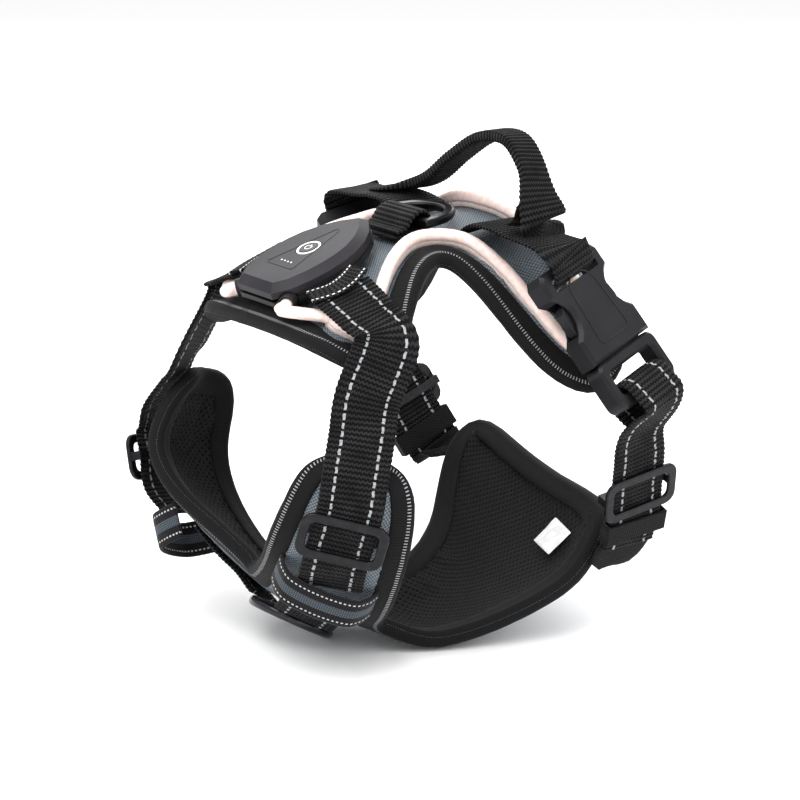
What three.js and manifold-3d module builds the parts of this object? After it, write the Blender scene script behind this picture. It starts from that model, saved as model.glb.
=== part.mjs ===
// A front-range dog walking harness with a light module on its back saddle.
// Millimetres. The dog faces -Y, its left side is +X, and +Z is up.
// The origin is under the harness's middle, on the surface that it stands on.
import * as THREE from 'three';
import { mergeVertices } from 'three/addons/utils/BufferGeometryUtils.js';
import Module from 'manifold-3d';

const wasm = await Module();
wasm.setup();

// ---- Driving dimensions ----

// Overall sizes. The routes and outlines below are drawn for DRAWN and scale with these.
const GIRTH_WIDTH = 184;
const BODY_LENGTH = 150;
const BODY_HEIGHT = 160;
const DRAWN = { width: 184, length: 150, height: 160 };

const GAP = 0.35;              // clearance between pieces that touch

const WEBBING = 25;            // width of every load strap
const WEBBING_THICK = 1.6;
const SHELL_THICK = 0.9;       // oxford fabric
const FOAM_THICK = 2.6;
const LINING_THICK = 0.9;      // mesh lining
const BINDING_WIDTH = 4.5;     // how far the edge tape stands out
const GUIDE_RADIUS = 2.6;      // light guide in its sleeve
const GUIDE_INSET = 8.5;       // light guide's centre, in from the fabric edge
const GUIDE_LIFT = 1.2;        // the light guide's underside over the shell

const MODULE_LENGTH = 50;      // top face of the light module
const MODULE_WIDTH = 35;
const MODULE_HEIGHT = 12;
const MODULE_BEVEL = 3;
const MODULE_FLARE = 3.2;      // how far the bevel runs outwards
const MODULE_WALL = 1.4;
const SEAM_LOW = 5.0;          // top of the base shell
const SEAM_HIGH = 6.4;         // bottom of the cover shell
const BUTTON_RADIUS = 3.8;
const BUTTON_Y = 25;           // button's place behind the module's front edge
const BUTTON_TRAVEL = 0.6;
const RING_LIGHT_WIDTH = 0.9;
const BOARD_THICK = 1;
const BATTERY = { width: 20, length: 26, height: 3.2 };
const PORT = { width: 9, height: 3.2, depth: 6 };
const PORT_Y = 20;
const SCREW_RADIUS = 1;
const SCREW_SPOTS = [[-6.5, 4.8], [6.5, 4.8], [0, 41]];

const BUCKLE_WIDTH = 36;
const SOCKET_LENGTH = 40;
const FRAME_LENGTH = 20;
const BUCKLE_THICK = 10.5;
const BUCKLE_CAVITY = 6.2;     // height of the hollow that takes the prongs
const BUCKLE_WALL = 2.3;
const BAR = 4;                 // strap bars of the buckle
const WAIST = 12.2;            // half width where the finger windows are
const PRONG_THICK = 4.6;

const SLIDER = { width: 34, length: 19, thick: 1.8, bar: 3.6 };
const SLIDER_CLEAR = 0.7;      // between a slider's bars and the strap

const BACK_RING = { half: 17.5, bar: 2, thick: 3.6, wire: 4.6 };
const CHEST_RING = { radius: 16, wire: 2.1 };

// ---- Points, curves and fabric sheets ----

const at = (x, y, z) => new THREE.Vector3(
  (x * GIRTH_WIDTH) / DRAWN.width,
  (y * BODY_LENGTH) / DRAWN.length,
  (z * BODY_HEIGHT) / DRAWN.height,
);
const vector = (x, y, z) => new THREE.Vector3(x, y, z);

const lerp = (a, b, t) => a + (b - a) * t;

// Joins a grid of points into quads whose outward side is (along a row) x (down the rows).
function gridSheet(rows) {
  const points = rows.flat();
  const columns = rows[0].length;
  const quads = [];
  for (let i = 0; i + 1 < rows.length; i += 1) {
    for (let j = 0; j + 1 < columns; j += 1) {
      const a = i * columns + j;
      quads.push([a, a + 1, a + columns + 1, a + columns]);
    }
  }
  return { points, quads };
}

function sheetNormals({ points, quads }) {
  const normals = points.map(() => vector(0, 0, 0));
  for (const [a, b, c, d] of quads) {
    const across = points[c].clone().sub(points[a]);
    const other = points[d].clone().sub(points[b]);
    const normal = across.cross(other);
    for (const corner of [a, b, c, d]) normals[corner].add(normal);
  }
  return normals.map((normal) => normal.normalize());
}

// The directed edges that only one quad has, as a map from start to end.
function rimEdges(quads) {
  const inner = new Set();
  for (const quad of quads) {
    quad.forEach((a, k) => inner.add(`${a},${quad[(k + 1) % 4]}`));
  }
  const rim = new Map();
  for (const quad of quads) {
    quad.forEach((a, k) => {
      const b = quad[(k + 1) % 4];
      if (!inner.has(`${b},${a}`)) rim.set(a, b);
    });
  }
  return rim;
}

// A sheet of fabric between two heights over its middle surface, closed round its rim.
function slab(sheet, low, high) {
  const normals = sheetNormals(sheet);
  const count = sheet.points.length;
  const position = [];
  for (const height of [high, low]) {
    sheet.points.forEach((point, i) => {
      const moved = point.clone().addScaledVector(normals[i], height);
      position.push(moved.x, moved.y, moved.z);
    });
  }
  const index = [];
  for (const [a, b, c, d] of sheet.quads) {
    index.push(a, b, c, a, c, d);
    index.push(count + a, count + c, count + b, count + a, count + d, count + c);
  }
  for (const [a, b] of rimEdges(sheet.quads)) {
    index.push(b, a, count + a, b, count + a, count + b);
  }
  const geometry = new THREE.BufferGeometry();
  geometry.setAttribute('position', new THREE.Float32BufferAttribute(position, 3));
  geometry.setIndex(index);
  return geometry;
}

// The rim of a sheet as a closed list of places, with the outward and sideways directions.
function rimPath(sheet) {
  const normals = sheetNormals(sheet);
  const rim = rimEdges(sheet.quads);
  const order = [];
  let here = rim.keys().next().value;
  while (order.length < rim.size) {
    order.push(here);
    here = rim.get(here);
  }
  return order.map((i, k) => {
    const before = sheet.points[order[(k + order.length - 1) % order.length]];
    const after = sheet.points[order[(k + 1) % order.length]];
    const along = after.clone().sub(before).normalize();
    const side = along.clone().cross(normals[i]).normalize();
    return { place: sheet.points[i], normal: normals[i], side };
  });
}

// A bar of tape round a closed rim.
function rimTape(sheet, width, thick) {
  const path = rimPath(sheet);
  const position = [];
  for (const { place, normal, side } of path) {
    for (const [out, up] of [[GAP, 0.5], [width, 0.5], [width, -0.5], [GAP, -0.5]]) {
      const corner = place.clone().addScaledVector(side, out).addScaledVector(normal, up * thick);
      position.push(corner.x, corner.y, corner.z);
    }
  }
  const index = [];
  for (let k = 0; k < path.length; k += 1) {
    const next = (k + 1) % path.length;
    for (let c = 0; c < 4; c += 1) {
      const d = (c + 1) % 4;
      index.push(4 * k + c, 4 * next + d, 4 * next + c, 4 * k + c, 4 * k + d, 4 * next + d);
    }
  }
  const geometry = new THREE.BufferGeometry();
  geometry.setAttribute('position', new THREE.Float32BufferAttribute(position, 3));
  geometry.setIndex(index);
  return geometry;
}

// A flat strap along a route of [x, y, z, outward normal]; taper scales its width along it.
function ribbon(route, width, steps, taper = () => 1) {
  const centres = new THREE.CatmullRomCurve3(route.map(([x, y, z]) => at(x, y, z)), false, 'catmullrom', 0.5);
  const hints = new THREE.CatmullRomCurve3(route.map(([, , , x, y, z]) => vector(x, y, z)), false, 'catmullrom', 0.5);
  const rows = [];
  for (let k = 0; k <= steps; k += 1) {
    const t = k / steps;
    const centre = centres.getPoint(t);
    const along = centres.getTangent(t);
    const side = along.clone().cross(hints.getPoint(t)).normalize();
    const reach = (width / 2) * taper(t);
    rows.push([centre.clone().addScaledVector(side, -reach), centre.clone().addScaledVector(side, reach)]);
  }
  return gridSheet(rows);
}

const strap = (route, steps, width = WEBBING, thick = WEBBING_THICK, taper = undefined) => (
  slab(ribbon(route, width, steps, taper), -thick / 2, thick / 2)
);

// A local frame: X across, Y along, Z outward.
function frameAt(origin, along, outward) {
  const y = along.clone().normalize();
  const x = y.clone().cross(outward).normalize();
  const z = x.clone().cross(y);
  return new THREE.Matrix4().makeBasis(x, y, z).setPosition(origin);
}

// ---- Solids ----

function solid(geometry) {
  const bare = geometry.clone();
  bare.deleteAttribute('normal');
  bare.deleteAttribute('uv');
  const welded = mergeVertices(bare, 1e-4);
  return new wasm.Manifold(new wasm.Mesh({
    numProp: 3,
    vertProperties: new Float32Array(welded.attributes.position.array),
    triVerts: new Uint32Array(welded.index.array),
  }));
}

function surface(manifold) {
  const mesh = manifold.getMesh();
  const geometry = new THREE.BufferGeometry();
  geometry.setAttribute('position', new THREE.BufferAttribute(new Float32Array(mesh.vertProperties), 3));
  geometry.setIndex(new THREE.BufferAttribute(new Uint32Array(mesh.triVerts), 1));
  return geometry;
}

const cut = (body, ...tools) => surface(tools.reduce((left, tool) => left.subtract(solid(tool)), solid(body)));
const join = (...bodies) => surface(bodies.map(solid).reduce((left, right) => left.add(right)));
const keep = (body, tool) => surface(solid(body).intersect(solid(tool)));

const box = (width, length, height, x = 0, y = 0, z = 0) => (
  new THREE.BoxGeometry(width, length, height).translate(x, y, z)
);
const disc = (radius, height, x = 0, y = 0, z = 0, sides = 20) => (
  new THREE.CylinderGeometry(radius, radius, height, sides).rotateX(Math.PI / 2).translate(x, y, z)
);

function rounded(path, width, length, radius, x = 0, y = 0) {
  const right = x + width / 2;
  const left = x - width / 2;
  const top = y + length / 2;
  const bottom = y - length / 2;
  path.moveTo(left + radius, bottom);
  path.lineTo(right - radius, bottom);
  path.absarc(right - radius, bottom + radius, radius, -Math.PI / 2, 0, false);
  path.lineTo(right, top - radius);
  path.absarc(right - radius, top - radius, radius, 0, Math.PI / 2, false);
  path.lineTo(left + radius, top);
  path.absarc(left + radius, top - radius, radius, Math.PI / 2, Math.PI, false);
  path.lineTo(left, bottom + radius);
  path.absarc(left + radius, bottom + radius, radius, Math.PI, 1.5 * Math.PI, false);
  return path;
}

// A plate with chamfered edges whose middle is at height z.
function plate(shape, thick, chamfer, z = 0, curveSegments = 3) {
  const geometry = new THREE.ExtrudeGeometry(shape, {
    depth: thick - 2 * chamfer,
    bevelEnabled: chamfer > 0,
    bevelThickness: chamfer,
    bevelSize: chamfer,
    bevelOffset: -chamfer,
    bevelSegments: 1,
    curveSegments,
  });
  return geometry.translate(0, 0, z - thick / 2 + chamfer);
}

const harness = new THREE.Group();

function add(name, geometry, colour, roughness = 0.8, metalness = 0, place = null) {
  const material = new THREE.MeshStandardMaterial({ color: colour, roughness, metalness });
  const mesh = new THREE.Mesh(geometry, material);
  mesh.name = name;
  if (place) mesh.applyMatrix4(place);
  harness.add(mesh);
}

const COLOUR = {
  webbing: 0x1c1c1e, oxford: 0x4f5b66, binding: 0x141415, foam: 0x2a2a2c, mesh: 0x1e1e20, guide: 0xf6dcd6,
  shell: 0x45424a, board: 0x1f5a3a, cell: 0x9aa0a8, white: 0xf4f4f4, metal: 0x3b3b40, buckle: 0x2c2c30,
  copper: 0xb9b2a4, ring: 0x0e0e10, rubber: 0x18181a, lamp: 0xfff4e0,
};

// ---- Back saddle ----

// From the neckline to the rear: rim point of the left side, then the spine point.
const SADDLE = [
  [[41, -62, 127], [-65, 131]],
  [[52, -50, 121], [-50, 137]],
  [[50, -38, 125], [-38, 142]],
  [[41, -27, 138], [-26, 146.5]],
  [[33, -15, 149], [-14, 150.5]],
  [[28, -4, 152], [-3, 154]],
  [[31, 4, 150.5], [6, 156]],
  [[40, 11, 142], [16, 157]],
  [[52, 19, 126.5], [25, 158]],
  [[63, 28.5, 111.5], [33, 159]],
  [[71, 43, 104], [41, 160]],
  [[67, 59, 115], [48, 160.5]],
];
const SADDLE_FALL = 2.4;       // how late the saddle turns down from the spine to the rim
const SADDLE_SWEEP = 1.6;
const SADDLE_COLUMNS = 4;      // columns on each side of the spine

// A point of the saddle's middle surface: row along the back, side from -1 (right) to 1 (left).
function saddlePoint(row, side) {
  const low = Math.min(Math.floor(row), SADDLE.length - 2);
  const [[x, y, z], [spineY, spineZ]] = SADDLE[low].map(
    (place, k) => place.map((value, axis) => lerp(value, SADDLE[low + 1][k][axis], row - low)),
  );
  const reach = Math.abs(side);
  return at(
    x * side,
    lerp(spineY, y, reach ** SADDLE_SWEEP),
    lerp(spineZ, z, reach ** SADDLE_FALL),
  );
}

// A strap's place on the saddle, at a height over its middle surface.
function onSaddle(row, side, height) {
  const step = 0.05;
  const point = saddlePoint(row, side);
  const across = saddlePoint(row, side + step).sub(saddlePoint(row, side - step));
  const down = saddlePoint(row + step, side).sub(saddlePoint(row - step, side));
  const normal = across.cross(down).normalize();
  return { point: point.addScaledVector(normal, height), normal };
}

const saddleSheet = gridSheet(SADDLE.map((_, row) => {
  const columns = [];
  for (let c = -SADDLE_COLUMNS; c <= SADDLE_COLUMNS; c += 1) {
    columns.push(saddlePoint(row, c / SADDLE_COLUMNS));
  }
  return columns;
}));

const SHELL_LOW = FOAM_THICK / 2 + GAP;
const SHELL_TOP = SHELL_LOW + SHELL_THICK;
const LINING_TOP = -FOAM_THICK / 2 - GAP;
const LINING_LOW = LINING_TOP - LINING_THICK;
const BINDING_THICK = 2 * SHELL_TOP;

function layers(name, sheet, liningName) {
  add(`${name}_shell`, slab(sheet, SHELL_LOW, SHELL_TOP), COLOUR.oxford);
  add(`${name}_foam`, slab(sheet, -FOAM_THICK / 2, FOAM_THICK / 2), COLOUR.foam);
  add(`${name}_${liningName}`, slab(sheet, LINING_LOW, LINING_TOP), COLOUR.mesh);
  add(`${name}_binding`, rimTape(sheet, BINDING_WIDTH, BINDING_THICK), COLOUR.binding);
}

layers('back', saddleSheet, 'lining');

// ---- Light module, in a frame on the saddle: Y to the rear, Z off the saddle ----

const moduleTilt = Math.atan2(
  saddlePoint(4, 0).z - saddlePoint(0, 0).z,
  saddlePoint(4, 0).y - saddlePoint(0, 0).y,
);
const moduleAlong = vector(0, Math.cos(moduleTilt), Math.sin(moduleTilt));
const moduleOut = vector(0, -Math.sin(moduleTilt), Math.cos(moduleTilt));
const MODULE_START = 4.5;      // from the neckline edge to the module's top face
const MODULE_LIFT = SHELL_TOP + 1.1;
const modulePlace = frameAt(
  saddlePoint(0, 0).addScaledVector(moduleAlong, MODULE_START).addScaledVector(moduleOut, MODULE_LIFT),
  moduleAlong,
  moduleOut,
);

// Half widths of the top face as shares of the width, at shares of the length.
const MODULE_SIDE = [[0, 0.3], [0.09, 0.41], [0.24, 0.475], [0.39, 0.5], [0.53, 0.487], [0.66, 0.44],
  [0.79, 0.34], [0.91, 0.19]];

function moduleShape() {
  const shape = new THREE.Shape();
  MODULE_SIDE.forEach(([along, out], k) => {
    const put = k ? 'lineTo' : 'moveTo';
    shape[put](out * MODULE_WIDTH, along * MODULE_LENGTH);
  });
  shape.lineTo(0, MODULE_LENGTH);
  [...MODULE_SIDE].reverse().forEach(([along, out]) => shape.lineTo(-out * MODULE_WIDTH, along * MODULE_LENGTH));
  return shape;
}

// The module's outer body, shrunk all round by inset.
function moduleBody(inset) {
  const geometry = new THREE.ExtrudeGeometry(moduleShape(), {
    depth: MODULE_HEIGHT - 2 * MODULE_BEVEL,
    bevelThickness: MODULE_BEVEL - inset,
    bevelSize: MODULE_FLARE - inset * 0.3,
    bevelOffset: -inset * 0.7,
    bevelSegments: 1,
  });
  return geometry.translate(0, 0, MODULE_BEVEL);
}

const level = (low, high) => box(90, 120, high - low, 0, 25, (low + high) / 2);
const guideAim = vector(0.62, -0.78, 0).normalize();
const GUIDE_HEIGHT = 4.4;      // guide's axis over the module's underside
const FERRULE = { radius: 3.6, inner: -0.6, outer: 5.4 };

// A cylinder on the guide's axis at a front corner, from one distance to another.
function guideAxis(side, radius, from, to, sides = 12) {
  const start = vector(0.405 * MODULE_WIDTH, 0.06 * MODULE_LENGTH, GUIDE_HEIGHT);
  const middle = start.addScaledVector(guideAim, (from + to) / 2);
  const geometry = new THREE.CylinderGeometry(radius, radius, to - from, sides);
  geometry.rotateZ(-Math.atan2(guideAim.x, guideAim.y));
  geometry.translate(middle.x, middle.y, middle.z);
  return side > 0 ? geometry : mirrored(geometry);
}

function mirrored(geometry) {
  const flipped = geometry.clone().scale(-1, 1, 1);
  const index = Array.from(flipped.index.array);
  for (let k = 0; k < index.length; k += 3) [index[k], index[k + 1]] = [index[k + 1], index[k]];
  flipped.setIndex(index);
  return flipped;
}

const SIDES = [['left', 1], ['right', -1]];
const guideBores = SIDES.map(([, side]) => guideAxis(side, FERRULE.radius + GAP, -2.5, 9));
const BOSS_RADIUS = 2.3;
const GASKET_FROM = 5;         // the gasket runs from one guide's bore round the back to the other's
const portX = -(0.478 * MODULE_WIDTH + MODULE_FLARE);
const portHole = box(8, PORT.width + 2 * GAP, PORT.height + 2 * GAP, portX, PORT_Y, SEAM_HIGH + PORT.height / 2);
const bosses = SCREW_SPOTS.map(([x, y]) => disc(BOSS_RADIUS, MODULE_HEIGHT - MODULE_WALL - SEAM_LOW, x, y,
  (MODULE_HEIGHT - MODULE_WALL + SEAM_LOW) / 2 + 0.6, 10));
const screwHoles = SCREW_SPOTS.map(([x, y]) => disc(SCREW_RADIUS + GAP, 14, x, y, 1.5, 8));
const headHoles = SCREW_SPOTS.map(([x, y]) => disc(1.9 + GAP, 2, x, y, -0.45, 10));
const keyHole = disc(BUTTON_RADIUS + RING_LIGHT_WIDTH + 2 * GAP, 9, 0, BUTTON_Y, MODULE_HEIGHT);
const LED_Y = 14;
const ledSpots = [-3.3, -1.1, 1.1, 3.3];
const ledHoles = ledSpots.map((x) => disc(0.75, 4, x, LED_Y, MODULE_HEIGHT, 8));

function addModule() {
  const cavity = moduleBody(MODULE_WALL);
  const shell = cut(moduleBody(0), cavity);
  const cover = cut(
    join(keep(shell, level(SEAM_HIGH, 20)), ...bosses),
    keyHole, portHole, ...ledHoles, ...screwHoles, ...guideBores,
  );
  add('module_cover', cover, COLOUR.shell, 0.45, 0, modulePlace);
  const base = cut(keep(shell, level(-5, SEAM_LOW)), ...headHoles, ...screwHoles, ...guideBores);
  add('module_base', base, COLOUR.shell, 0.5, 0, modulePlace);
  const gasket = cut(
    keep(cut(moduleBody(0.4), moduleBody(1.2)), level(SEAM_LOW + GAP, SEAM_HIGH - GAP)),
    box(60, GASKET_FROM + 20, 20, 0, (GASKET_FROM - 20) / 2),
    ...guideBores,
    portHole,
  );
  add('module_gasket', gasket, COLOUR.rubber, 0.9, 0, modulePlace);

  const batteryZ = MODULE_WALL + GAP + BATTERY.height / 2;
  add('module_battery', box(BATTERY.width - 6, BATTERY.length, BATTERY.height, 0, 21, batteryZ),
    COLOUR.cell, 0.4, 0.3, modulePlace);
  const boardZ = MODULE_WALL + 2 * GAP + BATTERY.height + BOARD_THICK / 2;
  const board = cut(box(24, 29, BOARD_THICK, 0, 23, boardZ),
    ...SCREW_SPOTS.map(([x, y]) => disc(BOSS_RADIUS + GAP, 4, x, y, boardZ, 10)));
  add('module_board', board, COLOUR.board, 0.5, 0, modulePlace);
  const boardTop = boardZ + BOARD_THICK / 2;

  add('button_dome', disc(2.4, 0.5, 0, BUTTON_Y, boardTop + GAP + 0.25, 12), COLOUR.copper, 0.3, 0.9, modulePlace);
  const stemLow = boardTop + 2 * GAP + 0.5 + BUTTON_TRAVEL;
  const keyLow = MODULE_HEIGHT - 1.9;
  const key = join(
    disc(BUTTON_RADIUS, 2.1, 0, BUTTON_Y, keyLow + 1.05, 24),
    disc(1.5, keyLow - stemLow + 0.4, 0, BUTTON_Y, (keyLow + stemLow) / 2 + 0.2, 10),
  );
  add('power_button', key, COLOUR.shell, 0.4, 0, modulePlace);
  const ringInner = BUTTON_RADIUS + GAP;
  const light = cut(
    disc(ringInner + RING_LIGHT_WIDTH, 1.9, 0, BUTTON_Y, MODULE_HEIGHT - 0.85, 24),
    disc(ringInner, 5, 0, BUTTON_Y, MODULE_HEIGHT, 24),
  );
  add('button_ring', light, COLOUR.white, 0.5, 0, modulePlace);
  const pipes = ledSpots.map((x) => disc(0.45, 1.9, x, LED_Y, MODULE_HEIGHT - 0.9, 8));
  const bridge = box(8.4, 1.6, 0.8, 0, LED_Y, MODULE_HEIGHT - MODULE_WALL - GAP - 0.4);
  add('charge_lights', join(bridge, ...pipes), COLOUR.white, 0.4, 0, modulePlace);
  const portZ = SEAM_HIGH + PORT.height / 2;
  const socket = cut(
    box(PORT.depth, PORT.width, PORT.height, portX + MODULE_FLARE + 1.4 + PORT.depth / 2, PORT_Y, portZ),
    box(PORT.depth, PORT.width - 1.6, PORT.height - 1.4, portX + MODULE_FLARE + 0.2 + PORT.depth / 2, PORT_Y, portZ),
  );
  add('charge_port', socket, COLOUR.copper, 0.3, 0.9, modulePlace);
  const plug = box(2.6, PORT.width - 0.2, PORT.height - 0.1, portX + 2.1, PORT_Y, portZ);
  add('port_plug', plug, COLOUR.rubber, 0.9, 0, modulePlace);

  for (const [name, side] of SIDES) {
    add(`guide_emitter_${name}`, guideAxis(side, 1.6, -5, -3.2, 8), COLOUR.lamp, 0.3, 0, modulePlace);
    const ferrule = cut(
      guideAxis(side, FERRULE.radius, FERRULE.inner, FERRULE.outer),
      guideAxis(side, GUIDE_RADIUS + GAP, -2, 9),
    );
    add(`guide_ferrule_${name}`, ferrule, COLOUR.guide, 0.6, 0, modulePlace);
  }
  SCREW_SPOTS.forEach(([x, y], k) => {
    const screw = join(disc(SCREW_RADIUS, 6.4, x, y, 3.4, 8), disc(1.9, 1, x, y, 0.05, 10));
    add(`module_screw_${k + 1}`, screw, COLOUR.metal, 0.35, 0.9, modulePlace);
  });
}

addModule();

// ---- Light guide round the saddle, its two ends in the module's front corners ----

function guideRoute() {
  const path = rimPath(saddleSheet);
  const lift = SHELL_TOP + GUIDE_RADIUS + GUIDE_LIFT;
  const inner = path.map(({ place, normal, side }) => (
    place.clone().addScaledVector(side, -GUIDE_INSET).addScaledVector(normal, lift)));
  const front = saddlePoint(0, 0).y + 2 * GUIDE_INSET;
  const clear = 0.62 * MODULE_WIDTH;
  const middle = inner.findIndex((p) => Math.abs(p.x) < 1 && p.y < front);
  const turned = inner.map((_, k) => inner[(middle + k) % inner.length]);
  const kept = turned.filter((p) => !(p.y < front && Math.abs(p.x) < clear));
  if (kept[0].x < 0) kept.reverse();
  const ends = SIDES.map(([, side]) => [0.4, 3.4, 6.4, 10].map((reach) => {
    const start = vector(0.405 * MODULE_WIDTH, 0.06 * MODULE_LENGTH, GUIDE_HEIGHT).addScaledVector(guideAim, reach);
    return vector(side * start.x, start.y, start.z).applyMatrix4(modulePlace);
  }));
  return [...ends[0], ...kept, ...ends[1].reverse()];
}

function sweep(points, radius, sides, steps) {
  const curve = new THREE.CatmullRomCurve3(points, false, 'catmullrom', 0.5);
  const round = new THREE.Shape();
  round.absarc(0, 0, radius, 0, 2 * Math.PI, false);
  return new THREE.ExtrudeGeometry(round, { steps, extrudePath: curve, curveSegments: sides, bevelEnabled: false });
}

add('light_guide', sweep(guideRoute(), GUIDE_RADIUS, 4, 90), COLOUR.guide, 0.5);

// ---- Chest and belly pad ----

// From the left arm's top to the right arm's top: centre, outward normal, half width.
const ARMS = [
  [59, -60, 84, 0.78, -0.6, 0.15, 11],
  [60, -62, 77, 0.78, -0.62, 0.1, 18],
  [58, -65, 63, 0.77, -0.64, 0, 21],
  [51, -66, 47, 0.7, -0.66, -0.2, 22.5],
  [38, -62, 32, 0.5, -0.7, -0.5, 22.5],
  [18, -54, 20, 0.25, -0.6, -0.75, 22.5],
  [0, -48, 16, 0, -0.5, -0.87, 22.5],
  [-18, -50, 19, -0.25, -0.6, -0.75, 22.5],
  [-38, -55, 29, -0.55, -0.65, -0.5, 22.5],
  [-60, -59, 45, -0.82, -0.52, -0.2, 22],
  [-71, -59, 63, -0.93, -0.36, 0, 21],
  [-71, -53, 80, -0.93, -0.36, 0, 18],
  [-70, -50, 90, -0.93, -0.36, 0.1, 11],
];
const ARM_COLUMNS = 4;
const ARM_BULGE = 4;           // how far an arm's middle stands out from its edges
const TONGUE_FIRST = 5;        // rows of the arms that the belly tongue grows from
const TONGUE_LAST = 7;

// The belly tongue towards the rear: its centre, then the half width as a vector to the left.
const TONGUE = [
  [17, -12, 7, 21, -5, -5],
  [16, 8, 9, 29, -10, -5.5],
  [11, 27, 15, 40, -14, -6.5],
  [6, 43, 25, 51, -14, -9],
  [3, 57, 36, 58, -13, -10],
  [1, 72, 50, 56, -10, -4],
];
const TONGUE_COLUMNS = 8;
const TONGUE_SAG = 5;

function armRow([x, y, z, nx, ny, nz, half], along) {
  const outward = vector(nx, ny, nz).normalize();
  const side = along.clone().cross(outward).normalize();
  const centre = at(x, y, z);
  const row = [];
  for (let c = 0; c <= ARM_COLUMNS; c += 1) {
    const share = (2 * c) / ARM_COLUMNS - 1;
    const bulge = ARM_BULGE * (0.5 - share * share);
    row.push(centre.clone().addScaledVector(side, share * half).addScaledVector(outward, bulge));
  }
  return row;
}

function armRows() {
  return ARMS.map((row, i) => {
    const before = ARMS[Math.max(i - 1, 0)];
    const after = ARMS[Math.min(i + 1, ARMS.length - 1)];
    const along = at(after[0], after[1], after[2]).sub(at(before[0], before[1], before[2])).normalize();
    return armRow(row, along);
  });
}

// Splits each row of points into finer columns along its own line.
function refined(row, columns) {
  const line = new THREE.CatmullRomCurve3(row, false, 'catmullrom', 0.5);
  const fine = [];
  for (let c = 0; c <= columns; c += 1) fine.push(line.getPoint(c / columns));
  return fine;
}

// Two more rows between each pair, on a smooth curve through the given ones.
function smoothed(rows, factor) {
  const lines = rows[0].map((_, c) => new THREE.CatmullRomCurve3(rows.map((row) => row[c]), false, 'catmullrom', 0.5));
  const count = (rows.length - 1) * factor;
  const fine = [];
  for (let k = 0; k <= count; k += 1) fine.push(lines.map((line) => line.getPoint(k / count)));
  return fine;
}

function padSheet() {
  const factor = 2;
  const arms = smoothed(armRows(), factor);
  const columns = ARM_COLUMNS + 1;
  const sheet = gridSheet(arms);
  const roots = [];
  for (let i = TONGUE_FIRST * factor; i <= TONGUE_LAST * factor; i += 1) roots.push(i * columns);
  const root = roots.map((i) => sheet.points[i]);
  const tongue = TONGUE.map(([x, y, z, hx, hy, hz]) => {
    const row = [];
    for (let c = 0; c < root.length; c += 1) {
      const share = 1 - (2 * c) / (root.length - 1);
      const sag = TONGUE_SAG * (1 - share * share);
      row.push(at(x + hx * share, y + hy * share, z + hz * share - sag));
    }
    return row;
  });
  let previous = roots;
  for (const row of tongue) {
    const fresh = row.map((point) => sheet.points.push(point) - 1);
    for (let c = 0; c + 1 < row.length; c += 1) {
      sheet.quads.push([fresh[c], previous[c], previous[c + 1], fresh[c + 1]]);
    }
    previous = fresh;
  }
  return sheet;
}

const pad = padSheet();
layers('pad', pad, 'mesh');

// ---- Side-release buckles ----

// The socket's slot end on the left side, its direction and its outward side.
const BUCKLE_START = [67, 26.5, 153];
const BUCKLE_ALONG = [0.476, 0.348, -0.806];
const BUCKLE_OUT = [0.83, 0.08, 0.53];

function buckleFrame(side) {
  const [x, y, z] = BUCKLE_START;
  const [ax, ay, az] = BUCKLE_ALONG;
  const [ox, oy, oz] = BUCKLE_OUT;
  return frameAt(at(side * x, y, z), vector(side * ax, ay, az), vector(side * ox, oy, oz));
}

const SLOT = WEBBING + 1.6;    // clear width of a strap slot

function socketGeometry() {
  const half = BUCKLE_WIDTH / 2;
  const outline = new THREE.Shape();
  outline.moveTo(-half + 2, 0);
  outline.lineTo(half - 2, 0);
  outline.lineTo(half, 3);
  outline.lineTo(half, 10);
  outline.quadraticCurveTo(WAIST + 0.5, 13, WAIST, 18);
  outline.quadraticCurveTo(WAIST, 25, half, 29);
  outline.lineTo(half, SOCKET_LENGTH);
  outline.lineTo(-half, SOCKET_LENGTH);
  outline.lineTo(-half, 29);
  outline.quadraticCurveTo(-WAIST, 25, -WAIST, 18);
  outline.quadraticCurveTo(-WAIST - 0.5, 13, -half, 10);
  outline.lineTo(-half, 3);
  outline.closePath();
  const body = plate(outline, BUCKLE_THICK, 1.4);
  const hollow = box(BUCKLE_WIDTH - 2 * BUCKLE_WALL, SOCKET_LENGTH, BUCKLE_CAVITY, 0, SOCKET_LENGTH / 2 + 12);
  const slot = box(SLOT, 5, 2 * BUCKLE_THICK, 0, BAR + 2.5);
  return cut(body, hollow, slot);
}

const FRAME_START = SOCKET_LENGTH + GAP;
const FRAME_WINDOW = 9.5;
const FRAME_SHOULDER = 5;
const PRONG = { inner: 9, outer: 15.2, arm: 12, root: 38.2, tip: 13.5, head: 15 };

function frameGeometry() {
  const shape = rounded(new THREE.Shape(), BUCKLE_WIDTH, FRAME_LENGTH, 4, 0, FRAME_START + FRAME_LENGTH / 2);
  const windowY = FRAME_START + FRAME_SHOULDER + FRAME_WINDOW / 2;
  shape.holes.push(rounded(new THREE.Path(), SLOT, FRAME_WINDOW, 1.5, 0, windowY));
  const body = plate(shape, BUCKLE_THICK - 1, 1.2);
  const tongue = box(5.4, 28, PRONG_THICK, 0, FRAME_START - 13);
  const root = box(2 * PRONG.arm + 1, 2.2, PRONG_THICK, 0, FRAME_START - 0.6);
  return join(body, tongue, root);
}

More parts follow.
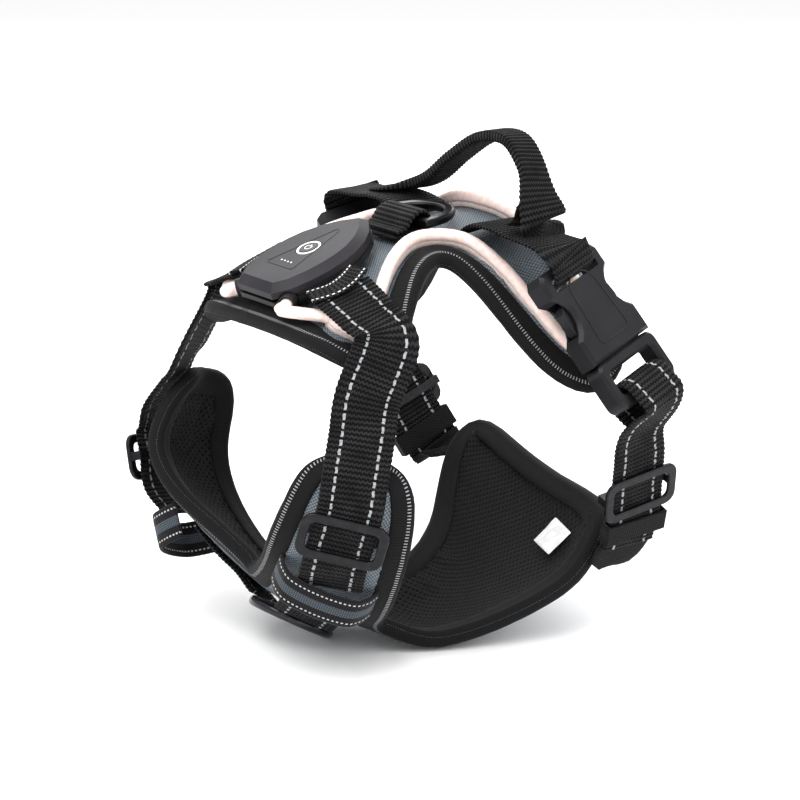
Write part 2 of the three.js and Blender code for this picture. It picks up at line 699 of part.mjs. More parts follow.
function prongGeometry(side) {
  const shape = new THREE.Shape();
  shape.moveTo(PRONG.inner, PRONG.root);
  shape.lineTo(PRONG.arm, PRONG.root);
  shape.lineTo(PRONG.arm, PRONG.tip + PRONG.head);
  shape.quadraticCurveTo(PRONG.outer, PRONG.tip + PRONG.head - 1, PRONG.outer, PRONG.tip + 8);
  shape.quadraticCurveTo(PRONG.outer, PRONG.tip, PRONG.inner + 1, PRONG.tip);
  shape.lineTo(PRONG.inner, PRONG.tip + 3);
  const geometry = plate(shape, PRONG_THICK, 0);
  if (side > 0) return geometry;
  return geometry.rotateY(Math.PI);
}

for (const [name, side] of SIDES) {
  const place = buckleFrame(side);
  add(`buckle_socket_${name}`, socketGeometry(), COLOUR.buckle, 0.55, 0, place);
  add(`buckle_frame_${name}`, frameGeometry(), COLOUR.buckle, 0.55, 0, place);
  add(`buckle_prong_front_${name}`, prongGeometry(side), COLOUR.buckle, 0.55, 0, place);
  add(`buckle_prong_rear_${name}`, prongGeometry(-side), COLOUR.buckle, 0.55, 0, place);
}

// ---- Straps that follow the buckles ----

// A point in a buckle's own frame, as a world place with a world normal.
function inBuckle(side, y, z, ny, nz) {
  const place = buckleFrame(side);
  const point = vector(0, y, z).applyMatrix4(place);
  const normal = vector(0, ny, nz).transformDirection(place);
  return { point, normal };
}

// A strap through world places with normals; outward is to the left of each normal's turn.
function strapThrough(stations, steps, width = WEBBING, thick = WEBBING_THICK) {
  const centres = new THREE.CatmullRomCurve3(stations.map(({ point }) => point), false, 'catmullrom', 0.5);
  const hints = new THREE.CatmullRomCurve3(stations.map(({ normal }) => normal), false, 'catmullrom', 0.5);
  const rows = [];
  for (let k = 0; k <= steps; k += 1) {
    const centre = centres.getPoint(k / steps);
    const side = centres.getTangent(k / steps).cross(hints.getPoint(k / steps)).normalize();
    rows.push([
      centre.clone().addScaledVector(side, -width / 2),
      centre.clone().addScaledVector(side, width / 2),
    ]);
  }
  return slab(gridSheet(rows), -thick / 2, thick / 2);
}

const station = ([x, y, z, nx, ny, nz], side = 1) => ({
  point: at(side * x, y, z),
  normal: vector(side * nx, ny, nz),
});

// Left girth strap below the buckle, down to the belly; then the right one.
const GIRTH_ROUTES = {
  left: [
    [91, 50, 88, 0.98, 0.05, 0.1],
    [87, 52.4, 75, 0.96, 0, -0.25],
    [83, 54.8, 62, 0.95, 0, -0.3],
    [79, 57.2, 49, 0.94, 0, -0.33],
    [74, 58, 37, 0.9, 0, -0.45],
  ],
  right: [
    [92, 52, 86, 0.98, 0.05, 0.1],
    [88, 57, 74, 0.93, 0.15, -0.25],
    [84, 62, 62, 0.92, 0.2, -0.3],
    [80, 67, 50, 0.9, 0.22, -0.3],
    [75, 72, 40, 0.85, 0.25, -0.4],
  ],
};
const LOOP_REACH = 3.4;        // from a bar's middle to the strap folded round it
const barY = FRAME_START + FRAME_LENGTH - 2.75;

for (const [name, side] of SIDES) {
  const lower = GIRTH_ROUTES[name].map((entry) => station(entry, side));
  const fold = [
    inBuckle(side, barY + 9, -5.6, 0.1, -1),
    inBuckle(side, barY + 2, -7.2, 0.05, -1),
    inBuckle(side, barY - 4.6, -5.2, -0.75, -0.7),
    inBuckle(side, barY - 6.2, 0, -1, 0),
    inBuckle(side, barY - 4.6, 5.2, -0.75, 0.7),
    inBuckle(side, barY + 2, 7.2, 0.05, 1),
    inBuckle(side, barY + 9, 6, 0.1, 1),
  ];
  const stations = [...fold, ...lower];
  add(`girth_strap_${name}`, strapThrough(stations, 46), COLOUR.webbing);
}


// The short webbing from the saddle over the socket's bar and into its slot.
const TAB_ROUTE = [
  [19, 25.2, 159.3, 0.2, -0.1, 0.97],
  [29, 25.2, 162.9, 0, 0, 1],
  [42, 25, 163.5, 0.08, 0, 1],
  [52, 25, 162, 0.3, 0.03, 0.95],
];
for (const [name, side] of SIDES) {
  const stations = [
    ...TAB_ROUTE.map((entry) => station(entry, side)),
    inBuckle(side, -4.5, 7.2, -0.15, 1),
    inBuckle(side, 1, 7.6, 0.05, 1),
    inBuckle(side, 4.4, 6.7, 0.4, 0.9),
    inBuckle(side, 6.5, 4, 0.9, 0.3),
    inBuckle(side, 6.6, 0, 1, 0),
  ];
  add(`buckle_tab_${name}`, strapThrough(stations, 12), COLOUR.webbing);
}

// ---- Sliders, keepers and tabs on the girth straps ----

// A slider's frame: end bars over the strap, middle bar under it, side rails past its edges.
function sliderGeometry() {
  const { width, length, thick, bar } = SLIDER;
  const over = WEBBING_THICK / 2 + SLIDER_CLEAR + thick / 2;
  const shape = rounded(new THREE.Shape(), width, length, 5);
  shape.holes.push(rounded(new THREE.Path(), WEBBING + 1.6, length - 2 * bar, 2.5));
  const face = plate(shape, thick, 0.4, over, 2);
  const railX = width / 2 - 1.6;
  const rails = [-1, 1].map((side) => box(2, bar, 2 * over, side * railX, 0, 0));
  const middle = box(2 * railX + 2, bar, thick, 0, 0, -over);
  return join(face, ...rails, middle);
}

function midFrame(stations, first) {
  const along = stations[first + 1].point.clone().sub(stations[first - 1].point);
  return frameAt(stations[first].point, along, stations[first].normal);
}

const KEEPER = { length: 9, wall: 1.1, clear: 0.8 };

function keeperGeometry() {
  const { length, wall, clear } = KEEPER;
  const inner = [WEBBING + 2 * clear, WEBBING_THICK + 2 * clear];
  return cut(
    box(inner[0] + 2 * wall, length, inner[1] + 2 * wall),
    box(inner[0], 2 * length, inner[1]),
  );
}

// Where each belly tab meets the pad's edge.
const TAB_TIPS = { left: [66, 48, 27.5], right: [60, 69.5, 42.3] };

for (const [name, side] of SIDES) {
  const route = GIRTH_ROUTES[name].map((entry) => station(entry, side));
  add(`girth_slider_${name}`, sliderGeometry(), COLOUR.metal, 0.35, 0.9, midFrame(route, 2));
  const lower = midFrame(route, 3);
  lower.multiply(new THREE.Matrix4().makeTranslation(0, 3.4, 0));
  add(`girth_keeper_${name}`, keeperGeometry(), COLOUR.webbing, 0.9, 0, lower);
  const end = route[route.length - 1];
  const along = end.point.clone().sub(route[route.length - 2].point).normalize();
  const inward = end.normal.clone().normalize().multiplyScalar(-(WEBBING_THICK + GAP));
  const [tipX, tipY, tipZ] = TAB_TIPS[name];
  const start = end.point.clone().add(inward);
  const tip = at(side * tipX, tipY, tipZ);
  const tab = [
    start.clone().addScaledVector(along, -2),
    start.clone().addScaledVector(along, 1.5),
    start.clone().lerp(tip, 0.6),
    tip,
  ];
  const across = along.clone().cross(end.normal).normalize();
  const sheet = tab.map((point, k) => {
    const reach = (WEBBING / 2) * [1, 1, 0.7, 0.3][k];
    return [point.clone().addScaledVector(across, -reach), point.clone().addScaledVector(across, reach)];
  });
  add(`belly_tab_${name}`, slab(gridSheet(sheet), -0.6, 0.6), COLOUR.webbing);
}

// ---- Shoulder straps ----

const RAIL_HEIGHT = SHELL_TOP + GUIDE_LIFT + 2 * GUIDE_RADIUS + GAP + WEBBING_THICK / 2 + 0.8;
const SHOULDER_ROUTES = {
  left: [
    [60.5, -57, 111, 0.8, -0.55, 0.25],
    [64, -62, 98, 0.83, -0.55, 0.05],
    [67, -67, 84, 0.82, -0.57, -0.05],
    [68, -70, 72, 0.79, -0.6, -0.22],
    [63.9, -71, 60, 0.78, -0.58, -0.25],
    [59.8, -72, 48, 0.78, -0.57, -0.25],
    [53, -69.4, 38, 0.72, -0.6, -0.35],
  ],
  right: [
    [61, -59, 108, 0.8, -0.5, 0.3],
    [68, -63, 95, 0.85, -0.5, 0.15],
    [76, -67, 82, 0.9, -0.45, 0.05],
    [80, -67.2, 71, 0.87, -0.43, -0.25],
    [75.2, -68.2, 59, 0.87, -0.42, -0.28],
    [70.4, -69.2, 47, 0.87, -0.42, -0.29],
    [61, -67, 38, 0.8, -0.5, -0.35],
  ],
};
const WING_ROW = 1.45;         // the saddle's row that the shoulder strap runs along

for (const [name, side] of SIDES) {
  const route = SHOULDER_ROUTES[name].map((entry) => station(entry, side));
  const wing = [0.52, 0.78, 0.97].map((reach) => onSaddle(WING_ROW, side * reach, RAIL_HEIGHT));
  add(`shoulder_strap_${name}`, strapThrough([...wing, ...route], 30), COLOUR.webbing);
  add(`shoulder_slider_${name}`, sliderGeometry(), COLOUR.metal, 0.35, 0.9, midFrame(route, 4));
  const tape = [0.55, 1.2, 1.8, 2.4].map((row) => (
    onSaddle(row, side * 0.5, RAIL_HEIGHT + WEBBING_THICK / 2 + GAP + 0.5)));
  add(`wing_tape_${name}`, strapThrough(tape.reverse(), 6, 9, 1), COLOUR.binding);
}

// ---- Chest arms: keeper over the strap's end, webbing down to the chest ring ----

// A place on an arm: fractional row, sideways distance and height over the middle surface.
function onArm(row, across, height) {
  const low = Math.min(Math.floor(row), ARMS.length - 2);
  const [x, y, z, nx, ny, nz] = ARMS[low].map((value, k) => lerp(value, ARMS[low + 1][k], row - low));
  const before = ARMS[Math.max(low - 1, 0)];
  const after = ARMS[Math.min(low + 2, ARMS.length - 1)];
  const along = at(after[0], after[1], after[2]).sub(at(before[0], before[1], before[2])).normalize();
  const normal = vector(nx, ny, nz).normalize();
  const side = along.clone().cross(normal).normalize();
  const point = at(x, y, z).addScaledVector(side, across).addScaledVector(normal, height);
  return { point, normal };
}

const ARM_TOP = ARM_BULGE / 2 + SHELL_TOP + GAP;
const KEEPER_ROWS = { left: 3.6, right: 8.45 };
const WEB_RISE = { left: 1.7, right: 1.9 };   // the webbing's end under the chest ring
const KEEPER_RISE = { left: 1.2, right: 2.6 };
const WEB_ROWS = { left: [3.75, 4.2, 4.7, 5.15], right: [8.3, 7.8, 7.3, 6.85] };
const KEEPER_ARCH = [[-19.5, 0.28], [-17, 0.62], [-12, 0.9], [0, 1], [12, 0.9], [17, 0.62], [19.5, 0.28]];
const KEEPER_TOP = { left: 14.5, right: 21.6 };

for (const [name] of SIDES) {
  const arch = KEEPER_ARCH.map(([across, share]) => (
    onArm(KEEPER_ROWS[name], across, share * KEEPER_TOP[name] + KEEPER_RISE[name])));
  add(`arm_keeper_${name}`, strapThrough(arch, 12, 15, 1.2), COLOUR.binding);
  const web = WEB_ROWS[name].map((row, k) => (
    onArm(row, 0, ARM_TOP + WEBBING_THICK / 2 + 1.1 + (k === 3 ? WEB_RISE[name] : 0))));
  add(`arm_webbing_${name}`, strapThrough(web, 8), COLOUR.webbing);
}

// ---- Rings ----

function torus(radius, wire) {
  return new THREE.TorusGeometry(radius, wire, 8, 28);
}

const RING_DEPTH = ARM_TOP + WEBBING_THICK + CHEST_RING.wire + 2 * GAP + 0.4;
const middleArm = onArm(6, 0, RING_DEPTH);
const chestPlace = frameAt(middleArm.point, vector(1, 0, 0), middleArm.normal);
add('chest_ring', torus(CHEST_RING.radius, CHEST_RING.wire), COLOUR.ring, 0.15, 0.9, chestPlace);

const RING_FOLD = 4.1;         // from the back ring's bar to the middle of the webbing round it
const RING_LIFT = RING_FOLD + WEBBING_THICK / 2 + GAP + SHELL_TOP;
const RING_SLOPE = 0.1;
const ringPlace = frameAt(
  saddlePoint(5.6, 0).add(vector(0, 0, RING_LIFT)),
  vector(0, 1, RING_SLOPE),
  vector(0, 0, 1),
);

function backRingGeometry() {
  const { half, bar, thick, wire } = BACK_RING;
  const shape = new THREE.Shape();
  shape.moveTo(-half, -bar);
  shape.lineTo(half, -bar);
  shape.lineTo(half, bar + 1);
  shape.absellipse(0, bar + 1, half, half, 0, Math.PI, false);
  const hole = new THREE.Path();
  hole.moveTo(-half + wire, bar);
  hole.lineTo(half - wire, bar);
  hole.absellipse(0, bar + 1.2, half - wire, half - wire, 0, Math.PI, false);
  shape.holes.push(hole);
  return plate(shape, thick, 0.7, 0, 5);
}

function inPlace(place, y, z, ny, nz) {
  return {
    point: vector(0, y, z).applyMatrix4(place),
    normal: vector(0, ny, nz).transformDirection(place),
  };
}

add('back_ring', backRingGeometry(), COLOUR.metal, 0.25, 0.95, ringPlace);
const TAIL = -13;
const upper = -RING_FOLD + WEBBING_THICK + GAP;
const ringLoop = [
  inPlace(ringPlace, TAIL, -RING_FOLD, 0, -1),
  inPlace(ringPlace, -5, -RING_FOLD, 0, -1),
  inPlace(ringPlace, 1.2, -RING_FOLD + 0.2, 0.3, -0.95),
  inPlace(ringPlace, RING_FOLD, 0, 1, 0),
  inPlace(ringPlace, 1.2, RING_FOLD - 0.2, 0.3, 0.95),
  inPlace(ringPlace, -4, 2.6, -0.45, 0.9),
  inPlace(ringPlace, -8.4, upper + 0.6, -0.3, 0.95),
  inPlace(ringPlace, TAIL, upper, 0, 1),
];
add('ring_loop', strapThrough(ringLoop, 24), COLOUR.webbing);

// ---- Handle, leaning as it falls when nobody holds it ----

const HANDLE = [
  [48, 28.5, 165.5, 0.3, 0, 0.95],
  [56.5, 27.5, 168.5, 0.97, 0, 0.25],
  [54, 27, 177, 1, 0, 0.2],
  [47, 28.5, 188, 0.8, 0, 0.6],
  [33, 31, 196, 0.3, 0, 0.95],
  [14, 32, 194, -0.3, 0, 0.95],
  [-4, 31.5, 184, -0.6, 0, 0.8],
  [-20, 31, 173, -0.6, 0, 0.8],
  [-36, 30, 167, -0.2, 0, 1],
  [-48, 29, 164.6, 0, 0, 1],
];
const handleTaper = (t) => 1 - 0.45 * Math.sin(Math.PI * Math.min(Math.max((t - 0.15) / 0.7, 0), 1)) ** 2;
add('handle', strap([...HANDLE].reverse(), 30, WEBBING - 2, WEBBING_THICK, handleTaper), COLOUR.webbing);

// ---- Sewn label inside the belly pad ----

function labelSheet() {
  const [a, b, c, d] = [[33, 53.9, 38.6], [47, 50.9, 36.1], [44, 41.9, 27.6], [30, 44.9, 29.6]].map(([x, y, z]) => at(x, y, z));
  return gridSheet([[a, b], [d, c]]);
}

add('care_label', slab(labelSheet(), -0.2, 0.2), COLOUR.white, 0.8);

// ---- Stand the harness over its origin ----

harness.updateMatrixWorld(true);
const bounds = new THREE.Box3().setFromObject(harness, true);
const middle = bounds.getCenter(vector(0, 0, 0));
harness.position.set(-middle.x, -middle.y, -bounds.min.z);

export default harness;
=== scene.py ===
"""Looks of a no-pull dog harness with a light module, built round its frame. Metres; the dog faces -Y."""
import math

import bmesh
import bpy
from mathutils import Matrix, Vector, noise
from mathutils.kdtree import KDTree


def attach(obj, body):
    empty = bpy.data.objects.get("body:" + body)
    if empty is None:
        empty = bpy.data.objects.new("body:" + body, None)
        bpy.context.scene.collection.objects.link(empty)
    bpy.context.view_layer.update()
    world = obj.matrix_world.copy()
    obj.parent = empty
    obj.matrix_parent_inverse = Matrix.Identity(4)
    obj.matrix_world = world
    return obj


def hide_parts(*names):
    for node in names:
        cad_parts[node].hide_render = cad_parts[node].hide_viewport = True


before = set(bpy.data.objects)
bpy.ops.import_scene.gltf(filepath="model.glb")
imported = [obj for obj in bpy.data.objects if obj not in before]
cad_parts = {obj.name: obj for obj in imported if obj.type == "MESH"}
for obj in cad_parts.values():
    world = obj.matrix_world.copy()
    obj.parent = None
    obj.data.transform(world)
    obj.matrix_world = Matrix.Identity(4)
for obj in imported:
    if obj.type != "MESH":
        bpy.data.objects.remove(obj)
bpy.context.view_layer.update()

MM = 0.001
SHIFT = Vector((-0.007, -0.055, 2.41))  # from the drawn coordinates to the frame's, mm
SIDES = (("left", 1), ("right", -1))
GAP = 0.35
WEBBING = 25.0
WEBBING_THICK = 1.6
RIB_PITCH = 2.0                # webbing's cross ribs
SELVEDGE = 14                  # how square webbing's edges are
SHELL_TOP = 2.55               # outer cloth over a pad's middle surface, mm
LINING_LOW = -2.55


# ---- Camera, floor and light ----

AZIMUTH = math.radians(55)
ELEVATION = math.radians(15)
DISTANCE = 1.2
TARGET = Vector((0, 0, 0.091))


def towards(azimuth, elevation):
    flat = math.cos(elevation)
    return Vector((flat * math.sin(azimuth), -flat * math.cos(azimuth), math.sin(elevation)))


def aim(item, place, target):
    item.location = place
    item.rotation_euler = (target - place).to_track_quat("-Z", "Y").to_euler()
    bpy.context.collection.objects.link(item)


lens = bpy.data.cameras.new("camera")
lens.lens = 135
lens.sensor_width = 36
camera = bpy.data.objects.new("camera", lens)
aim(camera, TARGET + DISTANCE * towards(AZIMUTH, ELEVATION), TARGET)
bpy.context.scene.camera = camera


def area_light(name, azimuth, elevation, distance, size, watts):
    light = bpy.data.lights.new(name, "AREA")
    light.size = size
    light.energy = watts
    place = TARGET + distance * towards(math.radians(azimuth), math.radians(elevation))
    aim(bpy.data.objects.new(name, light), place, TARGET)


area_light("key", 20, 55, 1.2, 0.9, 11)
area_light("fill", 110, 35, 1.4, 1.1, 6.5)
area_light("rim", 235, 40, 1.3, 0.9, 9)
area_light("top", 0, 88, 1.3, 1.4, 7)

world = bpy.data.worlds.new("studio")
world.use_nodes = True
world.node_tree.nodes["Background"].inputs["Color"].default_value = (1, 1, 1, 1)
world.node_tree.nodes["Background"].inputs["Strength"].default_value = 0.9
bpy.context.scene.world = world
bpy.context.scene.view_settings.view_transform = "Standard"


# ---- Materials ----

class Nodes:
    """A Principled material and short calls for the nodes that feed it."""

    def __init__(self, name, colour, roughness, metallic=0.0, sheen=0.0, coat=0.0, shine=0.07):
        self.material = bpy.data.materials.new(name)
        self.material.use_nodes = True
        self.tree = self.material.node_tree
        self.shader = self.tree.nodes["Principled BSDF"]
        self.set(self.shader, "Base Color", (*colour, 1))
        self.set(self.shader, "Roughness", roughness)
        self.set(self.shader, "Metallic", metallic)
        self.set(self.shader, "Sheen Weight", sheen)
        self.set(self.shader, "Sheen Roughness", 0.4)
        self.set(self.shader, "Coat Weight", coat)
        self.set(self.shader, "Specular IOR Level", shine)

    def set(self, node, key, value):
        if isinstance(value, bpy.types.NodeSocket):
            self.tree.links.new(value, node.inputs[key])
        else:
            node.inputs[key].default_value = value

    def node(self, kind, out=0, settings=None, **values):
        made = self.tree.nodes.new(kind)
        for key, value in (settings or {}).items():
            setattr(made, key, value)
        for key, value in values.items():
            self.set(made, key.replace("_", " "), value)
        return made.outputs[out]

    def math(self, operation, *values):
        made = self.tree.nodes.new("ShaderNodeMath")
        made.operation = operation
        for k, value in enumerate(values):
            self.set(made, k, value)
        return made.outputs[0]

    def uv(self):
        split = self.tree.nodes.new("ShaderNodeSeparateXYZ")
        self.set(split, 0, self.node("ShaderNodeUVMap"))
        return split.outputs[0], split.outputs[1]

    def space(self, scale=1000.0):
        place = self.node("ShaderNodeTexCoord", 3)
        return self.node("ShaderNodeVectorMath", 0, {"operation": "SCALE"}, Vector=place, Scale=scale)

    def noise(self, vector, scale, detail=3.0):
        return self.node("ShaderNodeTexNoise", 0, None, Vector=vector, Scale=scale, Detail=detail)

    def wave(self, value, pitch, shift=0.0):
        """0 to 1 and back once in each pitch."""
        turned = self.math("ADD", self.math("MULTIPLY", value, 2 * math.pi / pitch), shift)
        return self.math("MULTIPLY_ADD", self.math("SINE", turned), 0.5, 0.5)

    def ramp(self, value, low, high):
        made = self.tree.nodes.new("ShaderNodeMapRange")
        made.clamp = True
        for key, amount in (("Value", value), ("From Min", low), ("From Max", high)):
            self.set(made, key, amount)
        return made.outputs[0]

    def mix(self, factor, low, high):
        made = self.tree.nodes.new("ShaderNodeMix")
        made.data_type = "RGBA"
        self.set(made, 0, factor)
        for key, value in ((6, low), (7, high)):
            self.set(made, key, value if isinstance(value, bpy.types.NodeSocket) else (*value, 1))
        return made.outputs[2]

    def colour(self, value):
        self.set(self.shader, "Base Color", value)

    def bump(self, height, distance, strength=1.0):
        made = self.tree.nodes.new("ShaderNodeBump")
        self.set(made, "Height", height)
        self.set(made, "Distance", distance * MM)
        self.set(made, "Strength", strength)
        self.set(self.shader, "Normal", made.outputs[0])


def dashes(m, along, pitch, share):
    """1 on the dashes of a running stitch."""
    turned = m.math("FRACT", m.math("DIVIDE", along, pitch))
    return m.math("LESS_THAN", turned, share)


def band(m, value, centre, half):
    return m.math("LESS_THAN", m.math("ABSOLUTE", m.math("SUBTRACT", value, centre)), half)


def webbing_material(name, thread=0.0, ticks=False):
    """Ribbed black webbing; thread is the place of its two reflective threads from the middle."""
    m = Nodes(name, (0.012, 0.012, 0.013), 0.62, sheen=0.03)
    across, along = m.uv()
    skew = m.math("ADD", along, m.math("MULTIPLY", m.wave(across, 1.7), 0.55))
    rib = m.wave(skew, RIB_PITCH, math.pi / 2)
    yarn = m.wave(across, 0.85)
    cloudy = m.noise(m.space(), 0.12)
    raised = m.math("MULTIPLY", rib, m.math("MULTIPLY_ADD", yarn, 0.6, 0.4))
    lit = m.math("MULTIPLY", raised, m.ramp(cloudy, 0.1, 0.7))
    dark = m.mix(lit, (0.0008, 0.0008, 0.001), (0.036, 0.036, 0.038))
    height = m.math("ADD", rib, m.math("MULTIPLY", yarn, 0.35))
    if thread:
        drift = m.math("MULTIPLY_ADD", m.noise(m.space(), 0.35), 0.9, -0.45)
        lane = band(m, m.math("ADD", m.math("ABSOLUTE", across), drift), thread, 0.5)
        stitch = m.math("MULTIPLY", lane, dashes(m, along, 3.4, 0.68))
        m.colour(m.mix(stitch, dark, (0.34, 0.35, 0.36)))
        height = m.math("ADD", height, m.math("MULTIPLY", stitch, 1.3))
    elif ticks:
        lane = band(m, m.math("ABSOLUTE", across), 3.2, 0.3)
        stitch = m.math("MULTIPLY", lane, dashes(m, along, 2.0, 0.5))
        m.colour(m.mix(stitch, dark, (0.7, 0.7, 0.7)))
    else:
        m.colour(dark)
    m.bump(height, 0.35, 0.9)
    return m.material


def oxford_material():
    m = Nodes("oxford", (0.08, 0.1, 0.12), 0.5, sheen=0.05, shine=0.3)
    across, along = m.uv()
    weave = m.math("MULTIPLY", m.wave(across, 1.4), m.wave(along, 1.4))
    other = m.math("MULTIPLY", m.wave(across, 1.4, math.pi), m.wave(along, 1.4, math.pi))
    knots = m.math("ADD", weave, other)
    patch = m.noise(m.space(), 0.05)
    # The weave is a checker of knots, painted lighter where they rise: painted highlight, weaker in random
    # patches.
    mixed = m.mix(knots, (0.012, 0.018, 0.024), (0.24, 0.29, 0.33))
    m.colour(m.mix(m.ramp(patch, 0.35, 0.75), mixed, m.mix(knots, (0.01, 0.014, 0.019), (0.18, 0.22, 0.255))))
    m.bump(knots, 0.3, 0.8)
    return m.material


def air_mesh_material():
    m = Nodes("air_mesh", (0.012, 0.012, 0.012), 0.8, sheen=0.03, shine=0.1)
    across, along = m.uv()
    pitch = 3.3
    row = m.math("FLOOR", m.math("DIVIDE", along, pitch * 0.5))
    half = m.math("MULTIPLY", m.math("MODULO", row, 2.0), 0.5)
    a = m.math("SUBTRACT", m.math("FRACT", m.math("ADD", m.math("DIVIDE", across, pitch), half)), 0.5)
    b = m.math("SUBTRACT", m.math("FRACT", m.math("DIVIDE", along, pitch * 0.5)), 0.5)
    flat = m.math("MULTIPLY", m.math("MULTIPLY", b, b), 0.25)
    far = m.math("SQRT", m.math("ADD", m.math("MULTIPLY", a, a), flat))
    hole = m.ramp(far, 0.14, 0.24)
    fine = m.wave(across, 0.55)
    # The holes are painted near black: painted shade in them. The fine ridges are painted a little lighter:
    # painted highlight.
    m.colour(m.mix(hole, (0.001, 0.001, 0.001), m.mix(fine, (0.006, 0.006, 0.0065), (0.018, 0.018, 0.019))))
    m.bump(m.math("ADD", hole, m.math("MULTIPLY", fine, 0.1)), 0.5, 0.9)
    return m.material


def binding_material():
    """Edge tape: u runs from the pad out over the edge, v along it."""
    m = Nodes("binding", (0.01, 0.01, 0.011), 0.7, sheen=0.04)
    across, along = m.uv()
    zone = band(m, across, 7.2, 0.75)
    tick = m.math("LESS_THAN", m.math("FRACT", m.math("DIVIDE", along, 1.15)), 0.34)
    stitch = m.math("MULTIPLY", zone, tick)
    grain = m.wave(along, 0.6)
    dark = m.mix(grain, (0.003, 0.003, 0.0035), (0.014, 0.014, 0.015))
    m.colour(m.mix(stitch, dark, (0.33, 0.33, 0.34)))
    m.bump(m.math("ADD", m.math("MULTIPLY", grain, 0.4), stitch), 0.2, 0.8)
    return m.material


def plastic_material(name, colour, roughness, grain=0.05, coat=0.0):
    m = Nodes(name, colour, roughness, coat=coat, shine=0.2)
    fine = m.noise(m.space(), 2.2, 4.0)
    broad = m.noise(m.space(), 0.06)
    lighter = tuple(min(1, 1.25 * c + 0.004) for c in colour)
    m.colour(m.mix(m.ramp(broad, 0.35, 0.7), colour, lighter))
    m.bump(fine, grain, 0.5)
    return m.material


def metal_material(name, colour, roughness):
    m = Nodes(name, colour, roughness, 0.9, shine=0.5)
    worn = m.noise(m.space(), 0.35, 6.0)
    m.colour(m.mix(m.ramp(worn, 0.4, 0.75), colour, tuple(1.5 * c for c in colour)))
    m.set(m.shader, "Roughness", m.math("MULTIPLY_ADD", worn, 0.16, roughness - 0.06))
    m.bump(m.noise(m.space(), 1.5), 0.03, 0.4)
    return m.material


def guide_material():
    m = Nodes("guide", (0.9, 0.62, 0.56), 0.42, sheen=0.3)
    m.set(m.shader, "Subsurface Weight", 0.25)
    m.set(m.shader, "Subsurface Scale", 0.002)
    across, along = m.uv()
    crimp = m.noise(m.space(), 0.45, 2.0)
    fine = m.wave(along, 0.9)
    m.colour(m.mix(m.ramp(crimp, 0.2, 0.6), (0.82, 0.6, 0.54), (0.93, 0.76, 0.71)))
    m.bump(m.math("ADD", crimp, m.math("MULTIPLY", fine, 0.08)), 0.3, 0.6)
    return m.material


def plain_cloth(name, colour, pitch=0.7):
    m = Nodes(name, colour, 0.75, sheen=0.04)
    place = m.space()
    split = m.tree.nodes.new("ShaderNodeSeparateXYZ")
    m.set(split, 0, place)
    weave = m.math("MULTIPLY", m.wave(split.outputs[1], pitch), m.wave(split.outputs[2], pitch))
    lighter = tuple(1.9 * c + 0.004 for c in colour)
    m.colour(m.mix(weave, colour, lighter))
    m.bump(weave, 0.2, 0.7)
    return m.material


def keeper_material():
    """Cloth band between two black edge tapes with white dotted stitches."""
    m = Nodes("keeper_band", (0.02, 0.02, 0.022), 0.7, sheen=0.1)
    across, along = m.uv()
    away = m.math("ABSOLUTE", across)
    cloth = m.math("LESS_THAN", away, 2.0)
    weave = m.math("MULTIPLY", m.wave(across, 0.9), m.wave(along, 0.9))
    seam = m.math("MULTIPLY", band(m, away, 5.2, 0.33), dashes(m, along, 1.8, 0.5))
    base = m.mix(cloth, m.mix(weave, (0.006, 0.006, 0.007), (0.02, 0.02, 0.022)),
                 m.mix(weave, (0.03, 0.038, 0.046), (0.11, 0.13, 0.15)))
    m.colour(m.mix(seam, base, (0.5, 0.5, 0.5)))
    threads = m.math("ADD", m.math("MULTIPLY", weave, 0.3), seam)
    m.bump(m.math("ADD", m.math("MULTIPLY", cloth, -0.6), threads), 0.4, 0.8)
    return m.material


KEEPER_BAND = keeper_material()
STRAP = webbing_material("webbing_reflective", 7.4)
PLAIN_STRAP = webbing_material("webbing_plain")
TICK_TAPE = webbing_material("tape_stitched", ticks=True)
OXFORD = oxford_material()
AIR_MESH = air_mesh_material()
BINDING = binding_material()
GUIDE = guide_material()
LINING = plain_cloth("lining", (0.006, 0.006, 0.0065))
TAB_CLOTH = plain_cloth("tab_cloth", (0.007, 0.007, 0.0075), 1.1)
LABEL = plain_cloth("label", (0.8, 0.8, 0.8), 0.4)
COVER = plastic_material("cover", (0.015, 0.0135, 0.017), 0.5, 0.02)
BASE = plastic_material("base", (0.009, 0.009, 0.01), 0.45, 0.03)
BUCKLE = plastic_material("buckle", (0.007, 0.007, 0.0085), 0.4, 0.04)
KEY = plastic_material("key", (0.012, 0.011, 0.013), 0.38, 0.02)
WHITE = plastic_material("white", (0.85, 0.85, 0.85), 0.4, 0.01)
RUBBER = plastic_material("rubber", (0.02, 0.02, 0.02), 0.7, 0.04)
BOARD = plastic_material("board", (0.02, 0.14, 0.06), 0.45, 0.02)
CELL = plastic_material("cell", (0.15, 0.22, 0.34), 0.35, 0.02)
GUNMETAL = metal_material("gunmetal", (0.018, 0.018, 0.02), 0.28)
RING = metal_material("ring", (0.03, 0.03, 0.034), 0.2)
STEEL = metal_material("steel", (0.55, 0.55, 0.56), 0.3)


# ---- Curves, sheets and meshes; places are in mm in the drawn coordinates ----

def spline(points, u):
    """A uniform Catmull-Rom curve through the points, at u from 0 to 1."""
    last = len(points) - 1
    whole = min(int(u * last), last - 1)
    t = u * last - whole
    a = points[whole - 1] if whole else 2 * points[0] - points[1]
    b, c = points[whole], points[whole + 1]
    d = points[whole + 2] if whole + 2 <= last else 2 * points[last] - points[last - 1]
    square = 2 * a - 5 * b + 4 * c - d
    cube = 3 * b - a - 3 * c + d
    return 0.5 * (2 * b + (c - a) * t + square * t * t + cube * t ** 3)


def station(entry, side=1):
    x, y, z, nx, ny, nz = entry
    return Vector((side * x, y, z)), Vector((side * nx, ny, nz))


